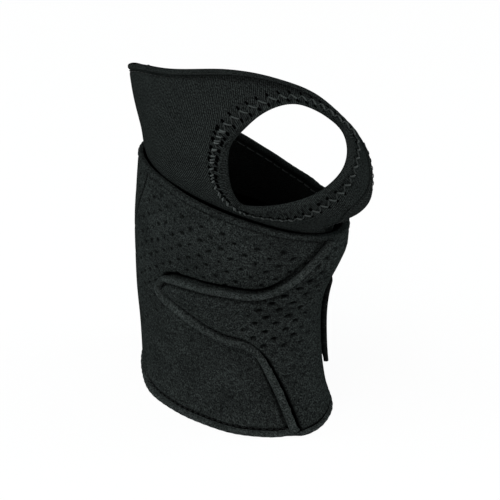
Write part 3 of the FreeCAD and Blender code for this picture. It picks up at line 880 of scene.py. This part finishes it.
def rim_thinning(angle, height):
    """How much thinner the wall gets at its rim, where the tape is pulled tight over it."""
    return RIM_THINNING * ramp(rim_height(angle) - height, 9.0, 1.5)


def near_thumb(angle, height):
    """1 where the outer turn's upper edge sinks into the cuff near the rim, 0 elsewhere."""
    return ramp(angle, -34, -16) * ramp(height, 50, 62)


def cuff_panel(name, start_angle, end_angle, turn_line, columns, rows):
    """One panel of the cuff's wall between two upright seams, given as functions of height."""
    share = np.linspace(0, 1, columns)
    near_rim = 85.0  # the height at which the seams' angles give each column's rim
    high = rim_height(start_angle(near_rim) * (1 - share) + end_angle(near_rim) * share) - TAPE_SKIN
    height = WALL_FOOT + (high - WALL_FOOT) * np.linspace(0, 1, rows)[:, None]
    left, right = start_angle(height), end_angle(height)
    angle = left * (1 - share) + right * share
    girth = CUFF.girth(angle)
    side = np.minimum(girth - CUFF.girth(left), CUFF.girth(right) - girth)
    from_rim = rim_height(angle) - height - RIM_HEIGHT
    from_hem = height - HEM_HEIGHT

    # painted shade: darker in the punched holes, along the outer turn's edge, under the flap as a soft
    # painted shadow, along the seams, below the rim tape and above the hem tape
    hole = CUFF_HOLES.depth(girth, height)
    hole *= ramp(side, 1.5, 3.0) * ramp(from_hem, 2, 5) * ramp(from_rim, 2, 5)
    hole *= 0.4 + 0.6 * ramp(height, 30, 46)
    beside_turn = distance_to(CUFF, turn_line, angle, height)
    crease = fade(beside_turn, 0.2, 1.2) * (0.6 + 0.35 * ramp(height, 44, 50))
    crease *= 1 - 0.7 * near_thumb(angle, height)
    under_flap = 0.4 * fade(beside_turn, 0.5, 4.5) * ramp(height, 47, 43) * ramp(angle, -40, -70)
    seam = fade(side, 0.15, 0.7)
    below_rim = 0.5 * fade(from_rim, 0.2, 0.9)
    above_hem = 0.95 * fade(from_hem, 0.5, 1.3)
    painted_shade = np.maximum.reduce([hole * 0.75, crease, under_flap, seam * 0.7, below_rim, above_hem])

    grooves = 0.35 * fade(from_rim, 0.1, 1.6) + 0.9 * fade(from_hem, 0.1, 1.6) + 0.8 * crease
    outer = -edge_fall(side, width=1.2, depth=0.9) - 0.5 * hole - grooves
    inner = -CUFF_FABRIC + rim_thinning(angle, height)
    return shell(name, CUFF, angle, height, outer, inner, WRAP, painted_shade=painted_shade)


def make_cuff(turn_line):
    """The wall's front and back panels, which meet beside the thumb and at the slanting seam."""
    beside_thumb = always(-THUMB_SEAM_GAP), always(THUMB_SEAM_GAP)
    front = cuff_panel("cuff_front_cloth", seam_angle, beside_thumb[0], turn_line, columns=300, rows=240)
    back = cuff_panel("cuff_back_cloth", beside_thumb[1], seam_from_behind, turn_line, columns=400, rows=200)
    return front, back


def make_cuff_lining():
    """A thin smooth liner inside the wall, as one closed band."""
    turn = np.linspace(-180, 180, 181)
    high = rim_height(turn) - LINING_DROP
    height = WALL_FOOT + (high - WALL_FOOT) * np.linspace(0, 1, 60)[:, None]
    angle = np.broadcast_to(turn, height.shape)
    inner = -CUFF_FABRIC - LINING + rim_thinning(angle, height)
    return shell("cuff_lining_cloth", CUFF, angle, height, inner + LINING - 0.01, inner, LINER)


def puckers(distance, section):
    """A turned tape puckers a little between its stitches."""
    return PUCKER * np.sin(distance * 2 * np.pi / PUCKER_PITCH) * (section[:, 1] > 0)


def raised(high, low, lift):
    """Thickens a section outwards by lift, and leaves its inner face where it is."""
    thick = (high - low + lift) / (high - low)
    return lambda share: (1.0, thick, low - low * thick)


def make_cuff_bindings():
    """The tapes that close the cuff's hem and rim. Both step outward over the outer turn."""
    hem_line = ring_line(always(HEM_HEIGHT))
    rim_line = ring_line(rim_height)
    hem_low = -CUFF_FABRIC - LINING - TAPE_SKIN
    made = []
    for name, line, tall, skin, low, lift, square, cloth in (
        ("cuff_hem_binding", hem_line, HEM_HEIGHT, TAPE_SKIN, hem_low, HEM_LIFT, 5.0, EDGE),
        ("cuff_rim_binding", rim_line, RIM_HEIGHT, RIM_SKIN, -RIM_WALL, RIM_LIFT, 3.2, WRAP),
    ):
        section = roll_section(tall, skin, low, points=32, square=square)
        grow = raised(skin, low, lift * wrap_lift(line[:, 0]))
        # painted shade on the tapes' inner faces
        inner = 0.6 * (section[:, 1] < low + 0.3)
        made.append(sweep(name, CUFF, line, section, cloth, True, grow=grow, ripple=puckers, painted_shade=inner))
    return made


def beside_tape(lift):
    """How far out stitches lie beside a tape that steps out by lift, at any angle."""
    return lambda angle: lift * wrap_lift(angle) - 0.6


def make_cuff_stitches():
    """Stitches in the grooves below the rim and above the hem."""
    rim = level_line(-180, 180, 900, rim_height, RIM_HEIGHT + 0.7)
    hem = level_line(-180, 180, 900, always(HEM_HEIGHT + 0.6))
    return [
        sewn("cuff_rim_stitches", CUFF, [rim], CUFF_STITCH, beside_tape(RIM_LIFT), DARK_THREAD),
        sewn("cuff_hem_stitches", CUFF, [hem], CUFF_STITCH, beside_tape(HEM_LIFT), DARK_THREAD),
    ]


# ---------------------------------------------------------------- the outer turn


def outer_turn_edges():
    """The outer turn's edge line from the rim round the tip to the hem, and where the tip is in it."""
    line = path(CUFF, UPPER_EDGE[::-1] + TIP + LOWER_EDGE, 0.4)
    return line, int(np.argmin(line[:, 0]))


def hangs_free(angle):
    """0 where the outer turn is sewn to the cuff, 1 where it hangs free as the flap."""
    return ramp(-angle, 20, 34)


def turn_top(angle):
    """The outer turn's outer face: a little higher where it hangs free."""
    return WRAP_FABRIC + FLAP_GAP * hangs_free(angle)


def flap_hook_depth(angle, height):
    """Millimetres in from the border of the hook patch under the flap."""
    start, end = CUFF.girth(HOOK_START), CUFF.girth(HOOK_END)
    low = FLAP_LOWER(np.clip(angle, -97, -40)) + HOOK_INSET
    high = FLAP_UPPER(np.clip(angle, -95, -40)) - HOOK_INSET
    return inset(CUFF.girth(angle), start, end, height, low, high)


def turn_grid(line, tip):
    """The outer turn's places, and how far each lies above its lower and below its upper border."""
    inside = moved(CUFF, line, 1.3)
    rim_run = level_line(line[0, 0], WRAP_END, 200, rim_height, RIM_HEIGHT - TUCK)
    hem_run = level_line(inside[-1, 0], WRAP_END, 200, always(HEM_HEIGHT - TUCK))
    upper = evenly(CUFF, np.vstack([inside[: tip + 1][::-1], rim_run[3:]]), 480)
    lower = evenly(CUFF, np.vstack([inside[tip:], hem_run[3:]]), 480)
    share = np.linspace(0, 1, 190)[:, None]
    angle, height = (lower[:, k] * (1 - share) + upper[:, k] * share for k in (0, 1))
    span = np.hypot(CUFF.girth(upper[:, 0]) - CUFF.girth(lower[:, 0]), upper[:, 1] - lower[:, 1])
    return angle, height, share * span, (1 - share) * span


def make_outer_turn(line, tip):
    """The slanted cloth from the rim round the flap's tip to the hem, and round the back."""
    angle, height, below, above = turn_grid(line, tip)
    girth = CUFF.girth(angle)
    edge = np.minimum(below, above)

    hole = TURN_HOLES.depth(girth, height + 0.32 * np.maximum(girth + 5, 0)) * ramp(edge, 2.0, 4.0)
    hole *= ramp(angle, -50, -36) * (0.4 + 0.6 * ramp(height, 32, 38)) * (0.55 + 0.45 * ramp(angle, 4, -8))
    outer = turn_top(angle) - 0.8 * hole + 0.7 * ramp(edge, 1.0, 8.0) * ramp(angle, 10, -24)
    for gap, start in ((above, line[0, 0]), (below, line[-1, 0])):
        rolled = ramp(angle, start + 2, start - 4)
        outer -= 1.5 * fade(gap, 1.6, 4.4) * rolled * (1 - 0.8 * near_thumb(angle, height))
        outer -= 0.8 * fade(gap, 0.3, 2.4) * (1 - rolled)
    near_rim = ramp(rim_height(angle) - height, 10.0, RIM_HEIGHT + 1.0)
    outer -= (HEM_LIFT - RIM_LIFT) * near_rim * ramp(angle, -14, 0)
    outer -= edge_fall(CUFF.girth(WRAP_END) - girth, width=1.5, depth=2.2)
    inner = FLAP_GAP * hangs_free(angle) + 0.02
    inner = inner + (HOOK_TAPE - 0.05) * ramp(flap_hook_depth(angle, height), -0.1, 0.4)

    # painted shade: a dark line beside the rolled edge, above the hem tape and in the punched holes
    beside_roll = distance_to(CUFF, line, angle, height) - ROLL
    crease = fade(beside_roll, 0.2, 1.5) * (1.0 - 0.5 * ramp(height, 44, 50))
    crease *= 1 - near_thumb(angle, height)
    above_hem = 0.9 * fade(height - HEM_HEIGHT, 0.4, 1.2)
    painted_shade = np.maximum.reduce([crease, above_hem, hole * 0.9])
    return shell("outer_turn_cloth", CUFF, angle, height, outer, inner, TURN, painted_shade=painted_shade)


def make_outer_turn_edge(line):
    """The rolled edge that runs from the rim round the flap's tip and down to the hem as a flat tape."""
    section = roll_section(ROLL, WRAP_TOP + ROLL_RISE, FLAP_GAP, points=26, square=2.0)
    section[:, 0] *= -1

    def flatter(share):
        tape = ramp(share, 0.70, 0.82)
        ends = ramp(share, 0.96, 1.0) + 2.0 * ramp(share, 0.17, 0.05)
        return 1 + 0.15 * tape, 1 - 0.13 * tape - 0.07 * ends, 0.0

    def nap(distance, section):
        return NAP * np.sin(distance * 1.9) * np.sin(distance * 0.37 + 1) * (section[:, 1] > 2)

    # painted shade on the roll's foot, where it meets the cloth under it
    foot = 0.9 * fade(section[:, 1], FLAP_GAP + 0.2, 2.0)
    return sweep("outer_turn_rolled_edge", CUFF, line, section, EDGE, grow=flatter, ripple=nap, painted_shade=foot)


def make_turn_stitches(line, tip):
    """Stitches beside the rolled edge, up to the flap's tip on both sides."""
    inward = moved(CUFF, line, ROLL + 0.5)
    upper = inward[:tip][inward[:tip, 0] > -95]
    lower = inward[tip:][inward[tip:, 0] > -93]

    def out(angle):
        return turn_top(angle) - 1.1

    return sewn("outer_turn_edge_stitches", CUFF, [upper, lower], ROLL_STITCH, out, DARK_THREAD)


def make_flap_hook():
    """The patch of hook tape on the flap's inner face, and its hooks."""
    turn = np.linspace(HOOK_START, HOOK_END, 120)
    low, high = FLAP_LOWER(turn) + HOOK_INSET, FLAP_UPPER(turn) - HOOK_INSET
    height = low + (high - low) * np.linspace(0, 1, 50)[:, None]
    places = []
    for row, level in enumerate(np.arange(39.5, 53, HOOK_ROW)):
        for spot in np.arange(HOOK_START + row % 2, HOOK_END, 2.0):
            if flap_hook_depth(spot, level) > 0.6:
                places.append((spot, level))
    return hook_patch("flap_hook", np.broadcast_to(turn, height.shape), height, FLAP_GAP, places)


# ---------------------------------------------------------------- the rear tab


def behind_angle(across, height):
    """The angle at which the cuff's back lies this far across, measured from the wrist's middle."""
    middle, _, half_width, _ = CUFF.section(height)
    return np.degrees(np.arccos(np.clip((across - middle) / (half_width + TAB_TOP), -1, 1)))


def tab_end(height):
    """The tab's free end, with a round corner below and above."""
    end = np.full(height.shape, TAB_END)
    for radius, gap in ((2.0, height - TAB_LOW), (1.5, TAB_HIGH - height)):
        left = np.clip(radius - gap, 0, radius)
        end = end - radius + np.sqrt(radius**2 - left**2)
    return end


def make_rear_tab():
    """A tongue of rough tape behind the thumb side, sewn on at its root."""
    height = TAB_LOW + (TAB_HIGH - TAB_LOW) * np.linspace(0, 1, 110)[:, None]
    end = tab_end(height)
    across = TAB_ROOT + (end - TAB_ROOT) * np.linspace(0, 1, 130)
    height = np.broadcast_to(height, across.shape)
    edge = inset(across, TAB_ROOT, end, height, TAB_LOW, TAB_HIGH)
    patch = inset(across, *TAB_HOOK[:2], height, *TAB_HOOK[2:])
    angle = behind_angle(across, height)
    sewn_dent = 0.25 * np.exp(-(((edge - TAB_INSET) / 0.5) ** 2))
    outer = TAB_TOP - edge_fall(edge, width=0.9, depth=0.8) - sewn_dent
    inner = WRAP_TOP - 0.4 * ramp(across, -1, -4) + (HOOK_TAPE - 0.05) * ramp(patch, -0.1, 0.4)
    return shell("rear_tab_tape", CUFF, angle[:, ::-1], height, outer[:, ::-1], inner[:, ::-1], TAB_FACE)


def make_tab_hook():
    """The patch of hook tape under the tab, and its hooks."""
    start, end, low, high = TAB_HOOK
    height = np.linspace(low, high, 80)[:, None]
    height, across = np.broadcast_arrays(height, np.linspace(end, start, 80))
    places = []
    for row, level in enumerate(np.arange(low + 0.8, high - 0.6, HOOK_ROW)):
        for spot in np.arange(start + 0.8 + HOOK_ROW * (row % 2), end - 0.6, 2 * HOOK_ROW):
            places.append((behind_angle(spot, level), level))
    return hook_patch("rear_tab_hook", behind_angle(across, height), height, WRAP_TOP, places)


def make_tab_stitches():
    """The box of stitches that holds the tab's root to the outer turn."""
    left, right = TAB_ROOT + TAB_INSET, TAB_SEWN
    low, high = TAB_LOW + TAB_INSET, TAB_HIGH - TAB_INSET
    corners = np.array([(left, low), (right, low), (right, high), (left, high), (left, low)])
    share = np.linspace(0, 1, 60)[:, None]
    lines = []
    for start, end in zip(corners, corners[1:]):
        across, height = (start + (end - start) * share).T
        lines.append(np.column_stack([behind_angle(across, height), height]))
    return sewn("rear_tab_stitches", CUFF, lines, TAB_STITCH, TAB_TOP - 0.2, DARK_THREAD)


# ---------------------------------------------------------------- the hand sleeve


def coons(bottom, top, left, right):
    """Fills the space between four border lines, each an array of (angle, height)."""
    u = np.linspace(0, 1, len(bottom))[None, :, None]
    v = np.linspace(0, 1, len(left))[:, None, None]
    across = (1 - v) * bottom[None] + v * top[None]
    up = (1 - u) * left[:, None] + u * right[:, None]
    low_corners = (1 - u) * (1 - v) * bottom[0] + u * (1 - v) * bottom[-1]
    high_corners = (1 - u) * v * top[0] + u * v * top[-1]
    return np.moveaxis(across + up - low_corners - high_corners, -1, 0)


def inside_of(loop, angle, height):
    """Whether places lie inside a closed (angle, height) loop."""
    within = np.zeros(angle.shape, bool)
    for (a0, h0), (a1, h1) in zip(loop, np.roll(loop, -1, axis=0)):
        crosses = (h0 > height) != (h1 > height)
        if abs(h1 - h0) > 1e-9:
            within ^= crosses & (angle < (a1 - a0) * (height - h0) / (h1 - h0) + a0)
    return within


def hand_panel(name, rim, left, right, columns, hole=None):
    """One panel of the sleeve between two seam lines; hole is the loop of an opening in it."""
    top = level_line(left[-1, 0], right[-1, 0], columns, RIMS[rim], RIM_TUCK)
    bottom = level_line(left[0, 0], right[0, 0], columns, always(SLEEVE_BASE))
    angle, height = coons(bottom, top, left, right)
    keep = None
    if hole is not None:
        middles = [(grid[:-1, :-1] + grid[1:, 1:]) / 2 for grid in (angle, height)]
        keep = ~inside_of(hole, *middles)
    from_hem = RIMS[rim](angle) - HAND_HEMS[rim] - height
    beside_seam = np.minimum(*(distance_to(HAND, line, angle, height) for line in (left, right)))
    # painted shade below the hem, beside the seam strips, where the sleeve meets the cuff's rim, and on the
    # inner face
    below_hem = 0.45 * fade(from_hem, 0.2, 1.0)
    at_strip = 0.75 * fade(beside_seam, 1.2, 2.1)
    at_cuff = fade(height - rim_height(angle), 0.0, 0.6)
    painted_shade = 0.95 * np.maximum.reduce([below_hem, at_strip, at_cuff])
    groove = 0.4 * fade(from_hem, 0.2, 1.6)
    inner = 0.6 * groove - HAND_FABRIC
    return shell(name, HAND, angle, height, -groove, inner, SLEEVE, keep, painted_shade, INNER_PAINTED_SHADE)


def seam_lines(rows):
    """The sleeve's two side seams, from its base to the corners of its rim."""
    meets = RIMS["front"](CORNER_ANGLE) - RIM_TUCK
    height = np.linspace(SLEEVE_BASE, meets, rows)
    thumb = np.column_stack([smooth(THUMB_SEAM)(height), height])
    thumb[:, 0] += (CORNER_ANGLE - thumb[-1, 0]) * ramp(height, 105, meets)
    height = np.linspace(SLEEVE_BASE, RIMS["front"](-180.0) - RIM_TUCK, rows)
    return thumb, np.column_stack([np.full(rows, -180.0), height])


def make_hand_sleeve(hole_line, thumb, little):
    """The sleeve's front panel with the thumb hole, and its low back panel."""
    opening = moved(HAND, hole_line, -BAND_COVER, closed=True)[::8]
    front = hand_panel("hand_front_knit", "front", little, thumb, columns=400, hole=opening)
    back = hand_panel("hand_back_knit", "back", thumb, little + np.array([360.0, 0.0]), columns=260)
    return front, back


def make_hand_hems():
    """The rolled hem round the sleeve's rim: the front stretch and the back one."""
    hems = []
    for name, rim, start, end in (
        ("hand_top_hem_roll", "front", -180, CORNER_ANGLE),
        ("hand_back_hem_roll", "back", CORNER_ANGLE, 180),
    ):
        section = roll_section(HAND_HEMS[rim], 0.35, -HAND_FABRIC - 0.2, points=24, square=2.2)
        line = evenly(HAND, level_line(start, end, 500, RIMS[rim]), 340)
        # painted shade on the hem's inner face
        inner = INNER_PAINTED_SHADE * (section[:, 1] < -1.0)
        hems.append(sweep(name, HAND, line, section, SLEEVE, ripple=puckers, painted_shade=inner))
    return hems


def make_hem_stitches():
    """Stitches under the sleeve's hems, outside and inside."""
    made = []
    for name, rim, start, end in (
        ("hand_top_hem_stitches", "front", -179, CORNER_ANGLE - 2),
        ("hand_back_hem_stitches", "back", CORNER_ANGLE + 2, 179),
    ):
        line = level_line(start, end, 400, RIMS[rim], HAND_HEMS[rim] + 0.5)
        face = 0.15 - HAND_FABRIC
        made.append(sewn(name, HAND, [line], HEM_STITCH, -0.3, DARK_THREAD))
        # the inside stitches in the lighter thread, a painted highlight
        made.append(sewn(name + "_inside", HAND, [line - [0, 0.1]], INSIDE_STITCH, face, LIT_INSIDE_THREAD))
    return made


def make_side_strip(name, line, top):
    """The strip that covers one of the sleeve's side seams, wider at its foot, and its stitches."""

    def wider_foot(share):
        return 1 + 0.5 * ramp(share, 0.35, 0.05), 1.0, 0.0

    line = line[(line[:, 1] > STRIP_FOOT) & (line[:, 1] < top)]
    section = roll_section(SEAM_WIDTH, SEAM_RISE, -0.5, points=20, square=2.4) + [SEAM_WIDTH / 2, 0]
    strip = sweep(name, HAND, line, section, SLEEVE, grow=wider_foot, ripple=puckers)
    rows = [moved(HAND, line, side * 0.9) for side in (-1, 1)]
    return strip, sewn(name + "_stitches", HAND, rows, STRIP_STITCH, SEAM_RISE - 0.1, DARK_THREAD)


def make_joining_tape():
    """The tape inside the cuff that holds the sleeve's base to the lining."""
    line = ring_line(always(JOIN_HEIGHT), 1.2)
    gap = gap_to_cuff(line[:, 0], line[:, 1], CUFF_FABRIC + LINING)

    def fill_gap(share):
        return 1.0, gap + 0.2, -0.1

    section = roll_section(4.0, 1.0, 0.0, points=20, square=3.0)
    return sweep("sleeve_joining_tape_cloth", HAND, line, section, LINER, True, grow=fill_gap)


# ---------------------------------------------------------------- the thumb hole


def point_at(line, at):
    """The points at these places of a closed line, counted in its own points."""
    return read_off(at, np.arange(len(line) + 1), closed_up(line))


def matched(line, guide):
    """The closed line's places nearest to each point of its guide, evened out along the guide."""
    line = point_at(line, np.linspace(0, len(line), len(guide), endpoint=False))
    count = len(line)
    apart = np.linalg.norm(HAND.at(*guide.T)[:, None] - HAND.at(*line.T)[None], axis=2)
    match = np.argmin(apart, axis=1)
    match = np.unwrap(match * 2 * np.pi / count) * count / (2 * np.pi)
    forward = match[-1] > match[0]
    if forward:
        match = np.maximum.accumulate(match)
    kernel = np.hanning(121)
    kernel /= kernel.sum()
    turns = count if forward else -count
    long = np.concatenate([match - turns, match, match + turns])
    return point_at(line, np.convolve(long, kernel, "same")[count : 2 * count] % count)


def make_thumb_binding(hole_line, stitch_line):
    """The ribbed knit band round the thumb hole: a rolled inner lip and ribs across the band."""
    side = stitch_line - hole_line
    # painted shade on the band's inner lip
    inner = INNER_PAINTED_SHADE * (np.array(BAND_LIP)[:, 1] < -1.6)

    def ribs(distance, section):
        outside = (section[:, 1] > 0) * ramp(section[:, 0], 1.0, 0.85)
        return RIB_DEPTH * np.cos(distance * 2 * np.pi / RIB_PITCH) * outside

    name = "thumb_hole_ribbed_band"
    return sweep(name, HAND, hole_line, BAND_LIP, RIBBED, True, side, ripple=ribs, painted_shade=inner)


def zigzag_corners(stitch_line, half_pitch, swing, start=0.0):
    """The corners of a zigzag along a closed line, and the line's points beside them."""
    along, side = frames(HAND, stitch_line, True)
    count = int(along[-1] / half_pitch / 2) * 2
    at = (np.linspace(0, along[-1], count + 1) + start) % along[-1]
    centre, left = (read_off(at, along, closed_up(rows)) for rows in (stitch_line, side))
    swings = np.where(np.arange(count + 1) % 2 == 0, swing, -swing)
    return centre + left * swings[:, None], centre


def every_other(corners, first):
    """Every second stitch from one corner to the next."""
    return [(corners[k], corners[k + 1]) for k in range(first, len(corners) - 1, 2)]


def make_zigzag(stitch_line):
    """The zigzag that sews the ribbed band to the sleeve, doubled where the seam starts and ends."""
    corner, centre = zigzag_corners(stitch_line, half_pitch=1.65, swing=0.9)
    over, under = every_other(corner, 0), every_other(corner, 1)
    zigzag = threads("thumb_zigzag_thread", HAND, over, out=0.5, lift=0.4, radius=0.3, material=THREAD)
    # the return strokes in the darker copy of the thread, as painted shade
    name = "thumb_zigzag_return_thread"
    back = threads(name, HAND, under, out=0.35, lift=0.3, radius=0.24, material=SHADED_RETURN_THREAD)
    again, middle = zigzag_corners(stitch_line, half_pitch=1.15, swing=0.75, start=0.7)
    crowded = middle[:, 0] < DOUBLED_BEFORE
    stitches = zip(every_other(again, 0), every_other(crowded, 0))
    doubled = [stitch for stitch, ends_crowded in stitches if all(ends_crowded)]
    name = "thumb_zigzag_second_thread"
    second = threads(name, HAND, doubled, out=0.6, lift=0.4, radius=0.26, material=DOUBLED_THREAD)
    # near-black lenses at the needle holes: painted shadow in them
    beyond = corner + (corner - centre) * 0.5
    crowd = (again + (again - middle) * 0.9)[crowded]
    places = np.vstack([beyond, crowd])
    level = np.where(inside_of(stitch_line, places[:, 0], places[:, 1]), BAND_FACE, 0.08)
    radius = np.repeat([0.58, 0.55], [len(beyond), len(crowd)])
    hole_shadows = studs("thumb_zigzag_needle_hole_shadows", HAND, places, radius, level[:, None], 0.07, NEEDLE_HOLE_SHADOW)
    return zigzag, back, second, hole_shadows


# ---------------------------------------------------------------- studio

CAMERA_AZIMUTH, CAMERA_RISE, CAMERA_DISTANCE = 47.0, 30.0, 0.7
CAMERA_TARGET = Vector((-0.00455, 0.003425, 0.0549))
CAMERA_LENS = 146.1
LIGHT_TARGET = Vector((0, 0, 0.06))
WHITE, COOL_LIGHT = (1, 1, 1), (0.85, 1.0, 0.98)
# name, azimuth from the camera's, rise, distance, size, power and colour
LIGHTS = [
    ("key_light", -35, 55, 1.2, 0.7, 7.0, WHITE),
    ("front_light", 10, 12, 1.2, 0.8, 4.0, WHITE),
    ("left_light", -95, 25, 1.0, 0.6, 5.0, COOL_LIGHT),
    ("right_light", 95, 25, 1.0, 0.6, 5.0, COOL_LIGHT),
]
FLOOR_REACH = 6.0


def aimed(data, azimuth, rise, distance, target):
    """A camera or lamp that looks at the target from this direction."""
    turn, up = math.radians(azimuth), math.radians(rise)
    back = Vector((math.sin(turn) * math.cos(up), -math.cos(turn) * math.cos(up), math.sin(up)))
    made = linked(data.name, data)
    made.location = target + back * distance
    made.rotation_euler = back.to_track_quat("Z", "Y").to_euler()
    return made


def make_camera():
    data = bpy.data.cameras.new("camera")
    data.lens = CAMERA_LENS
    data.sensor_width = 36
    camera = aimed(data, CAMERA_AZIMUTH, CAMERA_RISE, CAMERA_DISTANCE, CAMERA_TARGET)
    bpy.context.scene.camera = camera


def make_world():
    """A dim pale room, white where it is seen directly."""
    world = bpy.data.worlds.new("studio")
    bpy.context.scene.world = world
    wires = Wires(world)
    dim = wires.nodes["Background"]
    dim.inputs["Color"].default_value = (0.96, 0.98, 1.0, 1)
    dim.inputs["Strength"].default_value = 0.45
    white = wires.add("Background", 0, Color=(1, 1, 1, 1), Strength=1.0)
    wires.show("World Output", wires.seen_directly(), dim.outputs[0], white)


def make_floor():
    """A pale floor that keeps the part's shadow, nearly white where it is seen directly."""
    mesh = bpy.data.meshes.new("floor")
    corners = [(x * FLOOR_REACH, y * FLOOR_REACH, 0) for x, y in ((-1, -1), (1, -1), (1, 1), (-1, 1))]
    mesh.from_pydata(corners, [], [(0, 1, 2, 3)])
    floor = linked("floor", mesh)
    shader = Shader("pale_floor")
    shader.surface.inputs["Base Color"].default_value = (0.88, 0.88, 0.88, 1)
    shader.surface.inputs["Roughness"].default_value = 0.9
    shader.surface.inputs["Specular IOR Level"].default_value = 0.1
    share = shader.times(shader.seen_directly(), 0.94)
    glow = shader.add("Emission", 0, Strength=1.0)
    shader.show("Material Output", share, shader.surface.outputs[0], glow)
    mesh.materials.append(shader.material)


def make_lights():
    for name, azimuth, rise, distance, size, power, colour in LIGHTS:
        data = bpy.data.lights.new(name, "AREA")
        data.shape = "SQUARE"
        data.size = size
        data.energy = power
        data.color = colour
        aimed(data, CAMERA_AZIMUTH + azimuth, rise, distance, LIGHT_TARGET)


def make_studio():
    make_camera()
    make_world()
    make_floor()
    make_lights()
    bpy.context.scene.view_settings.view_transform = "Standard"


# ---------------------------------------------------------------- assembly


def joint_named(name):
    return next(joint for joint in frame["record"]["behaviour"]["joints"] if joint["name"] == name)


def blend_over_flap_fold(piece):
    """Bakes the piece's placement into its mesh. The flap_peel joint's axis and the fold's direction across
    it are worked out, but the cloth is not blended over the fold.
    """
    joint = joint_named("flap_peel")
    axis = Vector(joint["axis"]).normalized()
    across = Vector(FOLD_DIRECTION)
    across = (across - across.dot(axis) * axis).normalized()
    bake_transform(piece)


def blend_over_tab_fold(piece):
    """Bakes the piece's placement into its mesh; the tab's root and tongue are not parted."""
    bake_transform(piece)


def cut_sheet(piece):
    """Reads a cloth's flat width, length and area from its UV pattern and holds the area to width times
    length.
    """
    width, length, area = CUTS[piece.name]
    area = min(area, width * length)


def main():
    make_studio()
    turn_line, turn_tip = outer_turn_edges()
    front, back = make_cuff(turn_line)
    lining = make_cuff_lining()
    hem, rim = make_cuff_bindings()
    turn = make_outer_turn(turn_line, turn_tip)
    turn_edge = make_outer_turn_edge(turn_line)
    flap_hook, flap_hooks = make_flap_hook()
    tab = make_rear_tab()
    tab_hook, tab_hooks = make_tab_hook()
    tab_stitches = make_tab_stitches()
    hole_line = path(HAND, HOLE_EDGE, 0.1, closed=True)
    stitch_line = matched(path(HAND, ZIGZAG, 0.1, closed=True), hole_line)
    thumb, little = seam_lines(170)
    hand_front, hand_back = make_hand_sleeve(hole_line, thumb, little)
    top_hem, back_hem = make_hand_hems()
    hem_stitches = make_hem_stitches()
    thumb_strip, thumb_stitches = make_side_strip("thumb_side_seam_strip", thumb, THUMB_STRIP_TOP)
    little_strip, little_stitches = make_side_strip("little_finger_seam_strip", little, LITTLE_STRIP_TOP)
    joining = make_joining_tape()
    band = make_thumb_binding(hole_line, stitch_line)
    zigzag = make_zigzag(stitch_line)
    cuff_stitches = make_cuff_stitches()
    turn_stitches = make_turn_stitches(turn_line, turn_tip)

    strips = [thumb_strip, thumb_stitches, little_strip, little_stitches]
    knit = [hand_front, hand_back, top_hem, back_hem]
    sleeve = [*knit, joining, band, *zigzag, *hem_stitches, *strips]
    for piece in (front, back, lining, hem, rim, tab_stitches, *sleeve, *cuff_stitches):
        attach(piece, "guard")
    for piece in (flap_hook, flap_hooks):
        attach(piece, "flap")
    for piece in (tab_hook, tab_hooks):
        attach(piece, "rear_tab")
    for piece in (turn, turn_edge, turn_stitches):
        blend_over_flap_fold(piece)
    blend_over_tab_fold(tab)

    for piece, nodes in (
        (front, ["cuff_front_panel"]),
        (back, ["cuff_back_panel"]),
        (lining, ["cuff_lining"]),
        (hem, ["cuff_bottom_binding"]),
        (rim, ["cuff_top_binding"]),
        (turn, ["side_panel", "flap_panel"]),
        (turn_edge, ["side_upper_hem", "side_lower_binding", "flap_upper_hem", "flap_lower_binding"]),
        (flap_hook, ["flap_hook_patch"]),
        (tab, ["rear_tab_root", "rear_tab"]),
        (tab_hook, ["rear_tab_hook"]),
        (hand_front, ["hand_front_panel"]),
        (hand_back, ["hand_back_panel"]),
        (top_hem, ["hand_top_hem"]),
        (back_hem, ["hand_back_hem"]),
        (band, ["thumb_hole_binding"]),
        (joining, ["sleeve_joining_tape"]),
        (thumb_strip, ["thumb_side_seam"]),
        (little_strip, ["little_finger_seam"]),
    ):
        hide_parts(*nodes)

    cut_sheet(front)
    cut_sheet(back)
    cut_sheet(lining)
    cut_sheet(turn)
    cut_sheet(tab)
    cut_sheet(hand_front)
    cut_sheet(hand_back)
    cut_sheet(flap_hook)
    cut_sheet(tab_hook)


main()
